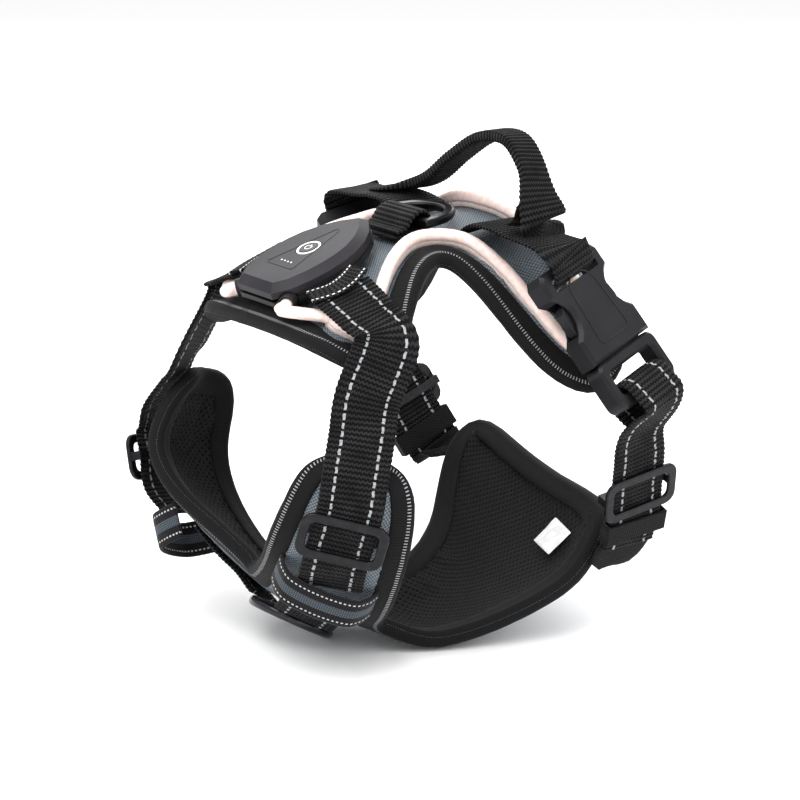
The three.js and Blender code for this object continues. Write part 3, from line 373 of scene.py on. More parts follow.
class Place:
    """A local frame: X across, Y along, Z outward."""

    def __init__(self, origin, along, outward):
        self.origin = origin
        self.y = along.normalized()
        self.x = self.y.cross(outward).normalized()
        self.z = self.x.cross(self.y)

    def point(self, x, y, z):
        return self.origin + x * self.x + y * self.y + z * self.z

    def turn(self, x, y, z):
        return x * self.x + y * self.y + z * self.z


def build(name, points, faces, uvs=None):
    """A mesh object from points in drawn mm; uvs is a list by point or a function of face and point."""
    mesh = bpy.data.meshes.new(name)
    mesh.from_pydata([(p + SHIFT) * MM for p in points], [], faces)
    layer = mesh.uv_layers.new(name="UVMap")
    for face in mesh.polygons if uvs else ():
        for loop in face.loop_indices:
            point = mesh.loops[loop].vertex_index
            layer.data[loop].uv = uvs(face.index, point) if callable(uvs) else uvs[point]
    mesh.polygons.foreach_set("use_smooth", [True] * len(mesh.polygons))
    item = bpy.data.objects.new(name, mesh)
    bpy.context.collection.objects.link(item)
    return item


def finish(item, material, body, replaced=()):
    item.data.materials.clear()
    item.data.materials.append(material)
    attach(item, body)
    if replaced:
        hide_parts(*replaced)
    return item


def apply_modifiers(item):
    bpy.context.view_layer.update()
    seen = item.evaluated_get(bpy.context.evaluated_depsgraph_get())
    mesh = bpy.data.meshes.new_from_object(seen)
    item.modifiers.clear()
    item.data = mesh


def resample(stations, pitch):
    """Even steps along a route: place, along, outward normal and distance."""
    points = [place for place, _ in stations]
    hints = [normal.normalized() for _, normal in stations]
    fine = 40 * (len(points) - 1)
    dense = [spline(points, k / fine) for k in range(fine + 1)]
    reach = [0.0]
    for a, b in zip(dense, dense[1:]):
        reach.append(reach[-1] + (b - a).length)
    count = max(6, round(reach[-1] / pitch))
    found = []
    k = 0
    for step in range(count + 1):
        want = reach[-1] * step / count
        while k + 2 < len(reach) and reach[k + 1] < want:
            k += 1
        share = (want - reach[k]) / max(reach[k + 1] - reach[k], 1e-9)
        u = (k + share) / fine
        ahead = spline(points, min(1, u + 0.002)) - spline(points, max(0, u - 0.002))
        found.append((spline(points, u), ahead.normalized(), spline(hints, u), want, step / count))
    return found


def sweep_faces(rings, count, closed=False):
    """Quads between rings of count points: joined end to end when closed, capped when not."""
    faces = []
    for k in range(rings if closed else rings - 1):
        here, after = count * k, count * ((k + 1) % rings)
        for c in range(count):
            d = (c + 1) % count
            faces.append((here + c, here + d, after + d, after + c))
    if not closed:
        faces.append(tuple(range(count))[::-1])
        faces.append(tuple(range(count * (rings - 1), count * rings)))
    return faces


def strap(name, stations, width=WEBBING, thick=WEBBING_THICK, shape=None, pitch=0.4, rib=0.17):
    """Ribbed webbing with rounded selvedges; shape(t) gives shares of the width and thickness."""
    half = [-1, -0.97, -0.86, -0.6, -0.3, 0, 0.3, 0.6, 0.86, 0.97, 1]
    outline = [(share, 1) for share in half] + [(share, -1) for share in half[-2:0:-1]]
    points, uvs = [], []
    rows = resample(stations, pitch)
    for place, along, hint, far, t in rows:
        side = along.cross(hint).normalized()
        out = side.cross(along)
        wide, deep = shape(t) if shape else (1, 1)
        ripple = rib * math.cos(2 * math.pi * far / RIB_PITCH)
        reach = width / 2 * wide + ripple
        rise = thick / 2 * deep + ripple
        for share, face in outline:
            edge = math.sqrt(max(0.0, 1 - abs(share) ** SELVEDGE))
            points.append(place + share * reach * side + face * rise * edge * out)
            uvs.append((share * width / 2, far))
    return build(name, points, sweep_faces(len(rows), len(outline)), uvs)


def grid_quads(rows, columns):
    quads = []
    for i in range(rows - 1):
        for j in range(columns - 1):
            a = i * columns + j
            quads.append((a, a + 1, a + columns + 1, a + columns))
    return quads


def sheet_normals(points, quads):
    normals = [Vector() for _ in points]
    for a, b, c, d in quads:
        normal = (points[c] - points[a]).cross(points[d] - points[b])
        for corner in (a, b, c, d):
            normals[corner] += normal
    return [normal.normalized() for normal in normals]


def rim_edges(quads):
    inner = {(q[k], q[(k + 1) % 4]) for q in quads for k in range(4)}
    return {a: b for a, b in inner if (b, a) not in inner}


def slab(name, points, quads, uvs, low, high):
    """A closed layer between two heights over a sheet; low and high are functions of the point's index."""
    normals = sheet_normals(points, quads)
    count = len(points)
    both = [p + high(i) * n for i, (p, n) in enumerate(zip(points, normals))]
    both += [p + low(i) * n for i, (p, n) in enumerate(zip(points, normals))]
    faces = [tuple(q) for q in quads] + [tuple(count + i for i in reversed(q)) for q in quads]
    faces += [(b, a, count + a, count + b) for a, b in rim_edges(quads).items()]
    item = build(name, both, faces, uvs)
    item.modifiers.new("smooth", "SUBSURF").levels = 1
    apply_modifiers(item)
    return item


def rim_path(points, quads):
    """The rim in order: place, outward normal of the sheet and direction away from it."""
    normals = sheet_normals(points, quads)
    rim = rim_edges(quads)
    order = []
    here = next(iter(rim))
    while len(order) < len(rim):
        order.append(here)
        here = rim[here]
    path = []
    for k, i in enumerate(order):
        along = (points[order[(k + 1) % len(order)]] - points[order[k - 1]]).normalized()
        path.append((points[i], normals[i], along.cross(normals[i]).normalized()))
    return path


def closed_sweep(name, path, outline, wobble=0.0):
    """A closed outline of (out, up, u) carried round a closed rim path."""
    points, uvs = [], []
    far = 0.0
    for k, (place, normal, side) in enumerate(path):
        if k:
            far += (place - path[k - 1][0]).length
        for out, up, u in outline:
            shake = wobble * noise.noise(place * 0.35 + Vector((u, 0, 0)))
            points.append(place + (out + shake) * side + up * normal)
            uvs.append((u, far))
    return build(name, points, sweep_faces(len(path), len(outline), closed=True), uvs)


SAME_PLACE = 2e-6              # m between points that are one
STILL_FLAT = math.radians(1.5)
SHARP = math.radians(24)       # edges that turn more than this are rounded


def refined(node, width, segments=3):
    """A finished copy of a hard CAD node: flat areas joined, edges rounded."""
    name = f"{node}_look"
    item = bpy.data.objects.new(name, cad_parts[node].data.copy())
    item.data.name = name
    bpy.context.collection.objects.link(item)
    work = bmesh.new()
    work.from_mesh(item.data)
    bmesh.ops.remove_doubles(work, verts=work.verts, dist=SAME_PLACE)
    bmesh.ops.dissolve_limit(work, angle_limit=STILL_FLAT, verts=work.verts, edges=work.edges)
    work.to_mesh(item.data)
    work.free()
    bevel = item.modifiers.new("edges", "BEVEL")
    bevel.width = width * MM
    bevel.segments = segments
    bevel.limit_method = "ANGLE"
    bevel.angle_limit = SHARP
    bevel.use_clamp_overlap = True
    item.data.polygons.foreach_set("use_smooth", [True] * len(item.data.polygons))
    shade = item.modifiers.new("shade", "WEIGHTED_NORMAL")
    shade.weight = 100
    apply_modifiers(item)
    return item


# ---- The back panel ----

SADDLE = [
    [[41, -62, 127], [-65, 131]],
    [[52, -50, 121], [-50, 137]],
    [[50, -38, 125], [-38, 142]],
    [[41, -27, 138], [-26, 146.5]],
    [[33, -15, 149], [-14, 150.5]],
    [[28, -4, 152], [-3, 154]],
    [[31, 4, 150.5], [6, 156]],
    [[40, 11, 142], [16, 157]],
    [[52, 19, 126.5], [25, 158]],
    [[63, 28.5, 111.5], [33, 159]],
    [[71, 43, 104], [41, 160]],
    [[67, 59, 115], [48, 160.5]],
]
RIM = [Vector(rim) for rim, _ in SADDLE]
SPINE = [Vector((0, y, z)) for _, (y, z) in SADDLE]
LAST_ROW = len(SADDLE) - 1
FOAM_HALF = 1.3
SHELL_LOW = FOAM_HALF + GAP
SADDLE_SWEEP = 1.6             # how late each row leaves the spine along the back
SADDLE_ARCH = 2.4              # and how late it falls


def saddle(row, side):
    """A point of the panel's middle surface, side from -1 (right) to 1 (left)."""
    u = min(max(row / LAST_ROW, 0), 1)
    rim, spine = spline(RIM, u), spline(SPINE, u)
    reach = abs(side)
    return Vector((
        rim.x * side,
        spine.y + (rim.y - spine.y) * reach ** SADDLE_SWEEP,
        spine.z + (rim.z - spine.z) * reach ** SADDLE_ARCH,
    ))


def on_saddle(row, side, height):
    step = 0.05
    across = saddle(row, side + step) - saddle(row, side - step)
    down = saddle(row + step, side) - saddle(row - step, side)
    normal = across.cross(down).normalized()
    return saddle(row, side) + height * normal, normal


def saddle_grid(per_row, per_side):
    rows = LAST_ROW * per_row + 1
    columns = 2 * per_side + 1
    points, uvs = [], []
    for i in range(rows):
        line = [saddle(i / per_row, c / per_side - 1) for c in range(columns)]
        points += line
        stops = [spline(SPINE, k / (rows - 1)) for k in range(i + 1)]
        far = sum((a - b).length for a, b in zip(stops, stops[1:]))
        for c in range(columns):
            cells = range(min(c, per_side), max(c, per_side))
            reach = sum((line[k + 1] - line[k]).length for k in cells)
            uvs.append((math.copysign(reach, c - per_side), far))
    return points, grid_quads(rows, columns), uvs


def rounded_path(path, times=4):
    """A rim path with its corners eased."""
    places = [place for place, _, _ in path]
    for _ in range(times):
        places = [
            0.5 * here + 0.25 * (places[k - 1] + places[(k + 1) % len(places)])
            for k, here in enumerate(places)
        ]
    eased = []
    for k, place in enumerate(places):
        along = places[(k + 1) % len(places)] - places[k - 1]
        eased.append((place, path[k][1], along.cross(path[k][1]).normalized()))
    return eased


BINDING_OVER = 5.6             # how far the edge tape reaches in over the panel
BINDING_OUT = 4.5


def tape_outline():
    """Across the edge tape: (out, up, distance over the tape's face)."""
    half = SHELL_TOP + 0.8
    outer = [
        (-BINDING_OVER, half - 0.25), (-BINDING_OVER + 0.4, half), (-3.4, half + 0.1),
        (-1.2, half + 0.02), (0.2, half - 0.12), (1.6, half + 0.05),
    ]
    steps = 7
    for k in range(steps + 1):
        turn = math.pi * (0.5 - k / steps)
        outer.append((1.9 + (BINDING_OUT - 1.9) * math.cos(turn), half * math.sin(turn)))
    outer += [(out, -up) for out, up in outer[5::-1]]
    inner = [(-BINDING_OVER, -SHELL_TOP + 0.2), (1.8, -SHELL_TOP + 0.3), (2.9, 0), (1.8, SHELL_TOP - 0.3),
             (-BINDING_OVER, SHELL_TOP - 0.2)]
    rows = []
    far = 0.0
    for k, (out, up) in enumerate(outer):
        if k:
            far += math.dist(outer[k - 1], (out, up))
        rows.append((out, up, far))
    whole = rows[-1][2]
    rows = [(out, up, far if far < whole / 2 + 1 else -far) for out, up, far in rows]
    return (rows + [(out, up, 0.0) for out, up in inner])[::-1]


def puffed(points, rise, scale):
    """Soft unevenness of a filled layer, by the point's index."""
    return [rise * noise.noise(p * scale) for p in points]


SETTLE_FRAMES = 14
SETTLE_MOST = 0.8              # how far settling may move a point
SEWN_REACH = 6.5               # the cloth this near the rim is sewn down


def settle(item, points, quads, outward):
    """Lets a filled layer's free face swell against its sewn rim, each point by SETTLE_MOST at most."""
    normals = sheet_normals(points, quads)
    middle = KDTree(len(points))
    for i, place in enumerate(points):
        middle.insert(place, i)
    middle.balance()
    rim = [place for place, _, _ in rim_path(points, quads)]
    edge = KDTree(len(rim))
    for i, place in enumerate(rim):
        edge.insert(place, i)
    edge.balance()
    sewn = item.vertex_groups.new(name="sewn")
    for vertex in item.data.vertices:
        place = vertex.co / MM - SHIFT
        near, i, _ = middle.find(place)
        high = outward * (place - near).dot(normals[i])
        if high < SHELL_LOW + 0.5 or edge.find(place)[2] < SEWN_REACH:
            sewn.add([vertex.index], 1.0, "REPLACE")
    cloth = item.modifiers.new("settle", "CLOTH")
    cloth.settings.quality = 6
    cloth.settings.mass = 0.2
    cloth.settings.tension_stiffness = 12
    cloth.settings.compression_stiffness = 12
    cloth.settings.bending_stiffness = 0.3
    cloth.settings.shrink_min = -0.035
    cloth.settings.use_pressure = True
    cloth.settings.uniform_pressure_force = 1.5
    cloth.settings.vertex_group_mass = "sewn"
    cloth.point_cache.frame_start = 1
    cloth.point_cache.frame_end = SETTLE_FRAMES
    scene = bpy.context.scene
    for moment in range(1, SETTLE_FRAMES + 1):
        scene.frame_set(moment)
    seen = item.evaluated_get(bpy.context.evaluated_depsgraph_get())
    moved = [vertex.co.copy() for vertex in seen.data.vertices]
    item.modifiers.remove(cloth)
    scene.frame_set(1)
    for vertex, place in zip(item.data.vertices, moved):
        step = place - vertex.co
        if math.isfinite(step.length) and step.length > 0:
            vertex.co += step * min(1, SETTLE_MOST * MM / step.length)


def panel(name, points, quads, uvs, liner, liner_node):
    waves = puffed(points, 0.55, 0.09)
    folds = puffed(points, 0.25, 0.3)
    outer = slab(f"{name}_outer_cloth", points, quads, uvs,
                 lambda i: SHELL_LOW, lambda i: SHELL_TOP + 0.05 + waves[i % len(points)] * 0.4)
    settle(outer, points, quads, 1)
    finish(outer, OXFORD, "harness", [f"{name}_shell"])
    core = slab(f"{name}_filling", points, quads, uvs, lambda i: -FOAM_HALF, lambda i: FOAM_HALF)
    finish(core, FOAM, "harness", [f"{name}_foam"])
    inner = slab(f"{name}_inner_cloth", points, quads, uvs,
                 lambda i: LINING_LOW - 0.3 - folds[i] - waves[i] * 0.5, lambda i: -SHELL_LOW)
    settle(inner, points, quads, -1)
    finish(inner, liner, "harness", [liner_node])
    path = rounded_path(rim_path(points, quads))
    tape = closed_sweep(f"{name}_edge_tape", path, tape_outline(), wobble=0.25)
    finish(tape, BINDING, "harness", [f"{name}_binding"])


FOAM = plain_cloth("filling", (0.05, 0.05, 0.055), 2.0)
back_points, back_quads, back_uvs = saddle_grid(5, 9)
back_count = len(back_points)
panel("back", back_points, back_quads, lambda face, i: back_uvs[i % back_count],
      LINING, "back_lining")


# ---- The chest and belly pad ----

ARMS = [
    [59, -60, 84, 0.78, -0.6, 0.15, 11],
    [60, -62, 77, 0.78, -0.62, 0.1, 18],
    [58, -65, 63, 0.77, -0.64, 0, 21],
    [51, -66, 47, 0.7, -0.66, -0.2, 22.5],
    [38, -62, 32, 0.5, -0.7, -0.5, 22.5],
    [18, -54, 20, 0.25, -0.6, -0.75, 22.5],
    [0, -48, 16, 0, -0.5, -0.87, 22.5],
    [-18, -50, 19, -0.25, -0.6, -0.75, 22.5],
    [-38, -55, 29, -0.55, -0.65, -0.5, 22.5],
    [-60, -59, 45, -0.82, -0.52, -0.2, 22],
    [-71, -59, 63, -0.93, -0.36, 0, 21],
    [-71, -53, 80, -0.93, -0.36, 0, 18],
    [-70, -50, 90, -0.93, -0.36, 0.1, 11],
]
ARM_BULGE = 4
TONGUE_FIRST = 5
TONGUE_LAST = 7
TONGUE = [
    [17, -12, 7, 21, -5, -5],
    [16, 8, 9, 29, -10, -5.5],
    [11, 27, 15, 40, -14, -6.5],
    [6, 43, 25, 51, -14, -9],
    [3, 57, 36, 58, -13, -10],
    [1, 72, 50, 56, -10, -4],
]
TONGUE_SAG = 5
PAD_FINE = 5                   # fine rows in each row of the arms
PAD_COLUMNS = 8


def arm_row(k):
    x, y, z, nx, ny, nz, half = ARMS[k]
    before, after = ARMS[max(k - 1, 0)], ARMS[min(k + 1, len(ARMS) - 1)]
    along = (Vector(after[:3]) - Vector(before[:3])).normalized()
    outward = Vector((nx, ny, nz)).normalized()
    side = along.cross(outward).normalized()
    row = []
    for c in range(PAD_COLUMNS + 1):
        share = 2 * c / PAD_COLUMNS - 1
        row.append(Vector((x, y, z)) + share * half * side + ARM_BULGE * (0.5 - share * share) * outward)
    return row


def off_middle(line, c):
    """Signed distance of a line's point from the line's middle point."""
    middle = len(line) // 2
    return (line[c] - line[middle]).length * (1 if c > middle else -1)


def pad_sheet():
    control = [arm_row(k) for k in range(len(ARMS))]
    columns = PAD_COLUMNS + 1
    rows = (len(ARMS) - 1) * PAD_FINE + 1
    points, uvs = [], []
    far = 0.0
    for i in range(rows):
        line = [spline([row[c] for row in control], i / (rows - 1)) for c in range(columns)]
        if i:
            far += (line[columns // 2] - points[-columns + columns // 2]).length
        points += line
        uvs += [(off_middle(line, c), far) for c in range(columns)]
    quads = grid_quads(rows, columns)
    arm_quads = len(quads)
    roots = [i * columns for i in range(TONGUE_FIRST * PAD_FINE, TONGUE_LAST * PAD_FINE + 1)]
    width = len(roots)
    lines = [[points[i] for i in roots]]
    for x, y, z, hx, hy, hz in TONGUE:
        line = []
        for c in range(width):
            share = 1 - 2 * c / (width - 1)
            sag = TONGUE_SAG * (1 - share * share)
            line.append(Vector((x + hx * share, y + hy * share, z + hz * share - sag)))
        lines.append(line)
    fine = len(TONGUE) * PAD_FINE
    tongue_uvs = {i: ((c - width // 2) * 4.0, 0.0) for c, i in enumerate(roots)}
    previous = roots
    far = 0.0
    for k in range(1, fine + 1):
        line = [spline([row[c] for row in lines], k / fine) for c in range(width)]
        far -= (line[width // 2] - points[previous[width // 2]]).length
        fresh = []
        for c, point in enumerate(line):
            fresh.append(len(points))
            tongue_uvs[len(points)] = (off_middle(line, c), far)
            points.append(point)
            uvs.append(tongue_uvs[len(points) - 1])
        quads += [(fresh[c], previous[c], previous[c + 1], fresh[c + 1]) for c in range(width - 1)]
        previous = fresh

    def pad_uv(face, i):
        base = i % len(points)
        quad = face % len(quads)
        return tongue_uvs[base] if quad >= arm_quads and base in tongue_uvs else uvs[base]

    return points, quads, pad_uv


pad_points, pad_quads, pad_uv = pad_sheet()
panel("pad", pad_points, pad_quads, pad_uv, AIR_MESH, "pad_mesh")


# ---- Light guide: a lit tube in a gathered fabric sleeve ----

GUIDE_RADIUS = 2.6
GUIDE_INSET = 8.5
GUIDE_LIFT = 1.2
MODULE = Place(
    Vector((0, -62.1, 136.016)),
    Vector((0, 0.9341, 0.3571)),
    Vector((0, -0.3571, 0.9341)),
)
MODULE_LENGTH = 50
MODULE_WIDTH = 35
GUIDE_HEIGHT = 4.4
GUIDE_AIM = Vector((0.62, -0.78, 0)).normalized()
GUIDE_CORNER = Vector((0.405 * MODULE_WIDTH, 0.06 * MODULE_LENGTH, GUIDE_HEIGHT))
GUIDE_ENDS = (0.4, 3.4, 6.4, 10)  # stops out of each corner before the route turns along the edge


def guide_route():
    """Round the panel's edge from one front corner of the module to the other."""
    points, quads, _ = saddle_grid(1, 4)
    path = rim_path(points, quads)
    lift = SHELL_TOP + GUIDE_RADIUS + GUIDE_LIFT
    inner = [(place - GUIDE_INSET * side + lift * normal, normal) for place, normal, side in path]
    front = saddle(0, 0).y + 2 * GUIDE_INSET
    clear = 0.62 * MODULE_WIDTH
    middle = next(k for k, (p, _) in enumerate(inner) if abs(p.x) < 1 and p.y < front)
    turned = inner[middle:] + inner[:middle]
    kept = [(p, n) for p, n in turned if p.y >= front or abs(p.x) >= clear]
    if kept[0][0].x < 0:
        kept.reverse()
    ends = []
    for _, side in SIDES:
        line = []
        for reach in GUIDE_ENDS:
            start = GUIDE_CORNER + reach * GUIDE_AIM
            line.append((MODULE.point(side * start.x, start.y, start.z), MODULE.z))
        ends.append(line)
    return ends[0] + kept + ends[1][::-1]


def tube(name, stations, radius, sides=16, pitch=0.7, crease=0.0):
    """A round sleeve along a route, gathered by crease."""
    points, uvs = [], []
    rows = resample(stations, pitch)
    for place, along, hint, far, _ in rows:
        across = along.cross(hint).normalized()
        out = across.cross(along)
        for k in range(sides):
            turn = 2 * math.pi * k / sides
            way = math.cos(turn) * across + math.sin(turn) * out
            spot = place + radius * way
            folds = noise.noise(spot * 0.42) + 0.7 * noise.noise(spot * 1.1)
            ring = 0.5 * math.sin(far * 2.1 + 1.3 * math.sin(turn + far * 0.15))
            points.append(spot + crease * (folds + ring * 0.5) * way)
            uvs.append((radius * turn, far))
    return build(name, points, sweep_faces(len(rows), sides), uvs)


sleeve = tube("light_sleeve", guide_route(), GUIDE_RADIUS - 0.2, crease=0.1)
finish(sleeve, GUIDE, "harness", ["light_guide"])


SEAM_OUTLINE = [(0.9, 1.2), (1.0, 2.6), (1.2, 4.2), (-1.2, 4.2), (-1.0, 2.6), (-0.9, 1.2)]


def sleeve_fin():
    """The sleeve's seam allowance, which runs down to the panel behind the route's end stretches."""
    ends = len(GUIDE_ENDS)
    rows = resample(guide_route()[ends:-ends], 1.2)
    points, uvs = [], []
    for place, along, hint, far, _ in rows:
        out = hint.normalized()
        away = along.cross(out).normalized()
        for reach, fall in SEAM_OUTLINE:
            points.append(place + reach * away - fall * out)
            uvs.append((reach, far))
    return build("sleeve_seam", points, sweep_faces(len(rows), len(SEAM_OUTLINE)), uvs)


finish(sleeve_fin(), GUIDE, "harness")


# ---- Buckle frames and the straps that follow them ----

def buckle_place(side):
    return Place(
        Vector((side * 67, 26.5, 153)),
        Vector((side * 0.476, 0.348, -0.806)),
        Vector((side * 0.83, 0.08, 0.53)),
    )


def in_buckle(side, y, z, ny, nz):
    place = buckle_place(side)
    return place.point(0, y, z), place.turn(0, ny, nz)


GIRTH_ROUTES = {
    "left": [
        [91, 50, 88, 0.98, 0.05, 0.1],
        [87, 52.4, 75, 0.96, 0, -0.25],
        [83, 54.8, 62, 0.95, 0, -0.3],
        [79, 57.2, 49, 0.94, 0, -0.33],
        [74, 58, 37, 0.9, 0, -0.45],
    ],
    "right": [
        [92, 52, 86, 0.98, 0.05, 0.1],
        [88, 57, 74, 0.93, 0.15, -0.25],
        [84, 62, 62, 0.92, 0.2, -0.3],
        [80, 67, 50, 0.9, 0.22, -0.3],
        [75, 72, 40, 0.85, 0.25, -0.4],
    ],
}
BAR_Y = 57.6                   # the buckle frame's strap bar along its own Y
TAB_ROUTE = [
    [19, 25.2, 159.3, 0.2, -0.1, 0.97],
    [29, 25.2, 162.9, 0, 0, 1],
    [42, 25, 163.5, 0.08, 0, 1],
    [52, 25, 162, 0.3, 0.03, 0.95],
]
TAB_TIPS = {"left": (66, 48, 27.5), "right": (-60, 69.5, 42.3)}


def lerp(a, b, t):
    return a + (b - a) * t


def steps_of(values, t):
    """Straight steps through values evenly spread over t from 0 to 1."""
    k = min(int(t * (len(values) - 1)), len(values) - 2)
    return lerp(values[k], values[k + 1], t * (len(values) - 1) - k)


for name, side in SIDES:
    lower = [station(entry, side) for entry in GIRTH_ROUTES[name]]
    fold = [
        in_buckle(side, BAR_Y + 9, -5.6, 0.1, -1),
        in_buckle(side, BAR_Y + 2, -7.2, 0.05, -1),
        in_buckle(side, BAR_Y - 4.6, -5.2, -0.75, -0.7),
        in_buckle(side, BAR_Y - 6.2, 0, -1, 0),
        in_buckle(side, BAR_Y - 4.6, 5.2, -0.75, 0.7),
        in_buckle(side, BAR_Y + 2, 7.2, 0.05, 1),
        in_buckle(side, BAR_Y + 9, 6, 0.1, 1),
    ]
    girth = strap(f"girth_webbing_{name}", fold + lower)
    finish(girth, STRAP, f"girth_side_{name}", [f"girth_strap_{name}"])

    over_bar = [
        in_buckle(side, -4.5, 7.2, -0.15, 1),
        in_buckle(side, 1, 7.6, 0.05, 1),
        in_buckle(side, 4.4, 6.7, 0.4, 0.9),
        in_buckle(side, 6.5, 4, 0.9, 0.3),
        in_buckle(side, 6.6, 0, 1, 0),
    ]
    tab = strap(f"buckle_webbing_{name}", [station(entry, side) for entry in TAB_ROUTE] + over_bar)
    finish(tab, PLAIN_STRAP, "harness", [f"buckle_tab_{name}"])

    end, normal = lower[-1]
    along = (end - lower[-2][0]).normalized()
    start = end - 1.95 * normal.normalized()
    tip = Vector(TAB_TIPS[name])
    places = [start - 2 * along, start + 1.5 * along, start.lerp(tip, 0.6), tip]
    belly = strap(f"belly_cloth_{name}", [(place, normal) for place in places], thick=1.5, rib=0.05,
                  shape=lambda t: (steps_of([1, 1, 0.7, 0.3], t), 1))
    finish(belly, TAB_CLOTH, "harness", [f"belly_tab_{name}"])


# ---- Shoulder straps, wing tapes and the arms' webbing ----

RAIL_HEIGHT = 10.9             # the straps' middle over the panel, on top of the light sleeve
SHOULDER_ROUTES = {
    "left": [
        [60.5, -57, 111, 0.8, -0.55, 0.25],
        [64, -62, 98, 0.83, -0.55, 0.05],
        [67, -67, 84, 0.82, -0.57, -0.05],
        [68, -70, 72, 0.79, -0.6, -0.22],
        [63.9, -71, 60, 0.78, -0.58, -0.25],
        [59.8, -72, 48, 0.78, -0.57, -0.25],
        [53, -69.4, 38, 0.72, -0.6, -0.35],
    ],
    "right": [
        [61, -59, 108, 0.8, -0.5, 0.3],
        [68, -63, 95, 0.85, -0.5, 0.15],
        [76, -67, 82, 0.9, -0.45, 0.05],
        [80, -67.2, 71, 0.87, -0.43, -0.25],
        [75.2, -68.2, 59, 0.87, -0.42, -0.28],
        [70.4, -69.2, 47, 0.87, -0.42, -0.29],
        [61, -67, 38, 0.8, -0.5, -0.35],
    ],
}
WING_ROW = 1.45
WING_REACH = (0.52, 0.78, 0.97)  # shares of the panel's half width under each strap's start
RIBBON_ROWS = (2.4, 1.8, 1.2, 0.55)
RIBBON_REACH = 0.5
RIBBON_OVER = 1.65
ARM_TOP = 4.9
WEB_OVER = 1.9
KEEPER_ROWS = {"left": 3.6, "right": 8.45}
KEEPER_TOP = {"left": 14.5, "right": 21.6}
KEEPER_RISE = {"left": 1.2, "right": 2.6}
KEEPER_ARCH = [[-19.5, 0.28], [-17, 0.62], [-12, 0.9], [0, 1], [12, 0.9], [17, 0.62], [19.5, 0.28]]
WEB_ROWS = {"left": [3.75, 4.2, 4.7, 5.15], "right": [8.3, 7.8, 7.3, 6.85]}
WEB_RISE = {"left": 1.7, "right": 1.9}


def on_arm(row, across, height):
    low = min(int(row), len(ARMS) - 2)
    mixed = [lerp(a, b, row - low) for a, b in zip(ARMS[low], ARMS[low + 1])]
    before, after = ARMS[max(low - 1, 0)], ARMS[min(low + 2, len(ARMS) - 1)]
    along = (Vector(after[:3]) - Vector(before[:3])).normalized()
    normal = Vector(mixed[3:6]).normalized()
    side = along.cross(normal).normalized()
    return Vector(mixed[:3]) + across * side + height * normal, normal


for name, side in SIDES:
    wing = [on_saddle(WING_ROW, side * reach, RAIL_HEIGHT) for reach in WING_REACH]
    route = [station(entry, side) for entry in SHOULDER_ROUTES[name]]
    shoulder = strap(f"shoulder_webbing_{name}", wing + route)
    finish(shoulder, STRAP, "harness", [f"shoulder_strap_{name}"])
    places = [on_saddle(row, side * RIBBON_REACH, RAIL_HEIGHT + RIBBON_OVER) for row in RIBBON_ROWS]
    tape = strap(f"wing_ribbon_{name}", places, width=9, thick=1.1, rib=0.05)
    finish(tape, TICK_TAPE, "harness", [f"wing_tape_{name}"])

    rise = KEEPER_RISE[name]
    row, top = KEEPER_ROWS[name], KEEPER_TOP[name]
    arch = [on_arm(row, across, share * top + rise) for across, share in KEEPER_ARCH]
    keeper = strap(f"arm_band_{name}", arch, width=15, thick=1.4, rib=0.02)
    finish(keeper, KEEPER_BAND, "harness", [f"arm_keeper_{name}"])
    heights = [ARM_TOP + WEB_OVER + (WEB_RISE[name] if k == 3 else 0) for k in range(4)]
    places = [on_arm(row, 0, height) for row, height in zip(WEB_ROWS[name], heights)]
    web = strap(f"chest_webbing_{name}", places)
    finish(web, STRAP, "harness", [f"arm_webbing_{name}"])


# ---- Back ring's loop and the handle ----

RING_PLACE = Place(Vector((0, 2.4, 163.0)), Vector((0, 1, 0.1)), Vector((0, 0, 1)))
LOOP_ROUTE = [
    (-13, -4.1, 0, -1),
    (-5, -4.1, 0, -1),
    (1.2, -3.9, 0.3, -0.95),
    (4.1, 0, 1, 0),
    (1.2, 3.9, 0.3, 0.95),
    (-4, 2.6, -0.45, 0.9),
    (-8.4, -1.55, -0.3, 0.95),
    (-13, -2.15, 0, 1),
]
loop = [(RING_PLACE.point(0, y, z), RING_PLACE.turn(0, ny, nz)) for y, z, ny, nz in LOOP_ROUTE]
finish(strap("ring_webbing", loop), PLAIN_STRAP, "harness", ["ring_loop"])

HANDLE = [
    [48, 28.5, 165.5, 0.3, 0, 0.95],
    [56.5, 27.5, 168.5, 0.97, 0, 0.25],
    [54, 27, 177, 1, 0, 0.2],
    [47, 28.5, 188, 0.8, 0, 0.6],
    [33, 31, 196, 0.3, 0, 0.95],
    [14, 32, 194, -0.3, 0, 0.95],
    [-4, 31.5, 184, -0.6, 0, 0.8],
    [-20, 31, 173, -0.6, 0, 0.8],
    [-36, 30, 167, -0.2, 0, 1],
    [-48, 29, 164.6, 0, 0, 1],
]


def eased(t, start, end):
    share = min(max((t - start) / (end - start), 0), 1)
    return share * share * (3 - 2 * share)


HANDLE_WIDTH = 23
GRIP_STARTS = (0.04, 0.16)     # shares of the handle's length
GRIP_ENDS = (0.78, 0.95)
GRIP_NARROWS = 0.46
GRIP_THICKENS = 1.7


def handle_shape(t):
    """Flat at both ends, folded narrow and thick where the hand holds it."""
    folded = eased(t, *GRIP_STARTS) * (1 - eased(t, *GRIP_ENDS))
    return 1 - GRIP_NARROWS * folded, 1 + GRIP_THICKENS * folded


route = [station(entry) for entry in HANDLE[::-1]]
grip = strap("handle_webbing", route, width=HANDLE_WIDTH, shape=handle_shape)
finish(grip, PLAIN_STRAP, "harness", ["handle"])


# ---- Sewn label inside the belly pad ----

LABEL_WIDE, LABEL_HIGH = 14.5, 13.1
CORNERS = [Vector(p) for p in ((33, 53.9, 38.6), (47, 50.9, 36.1), (44, 41.9, 27.6), (30, 44.9, 29.6))]


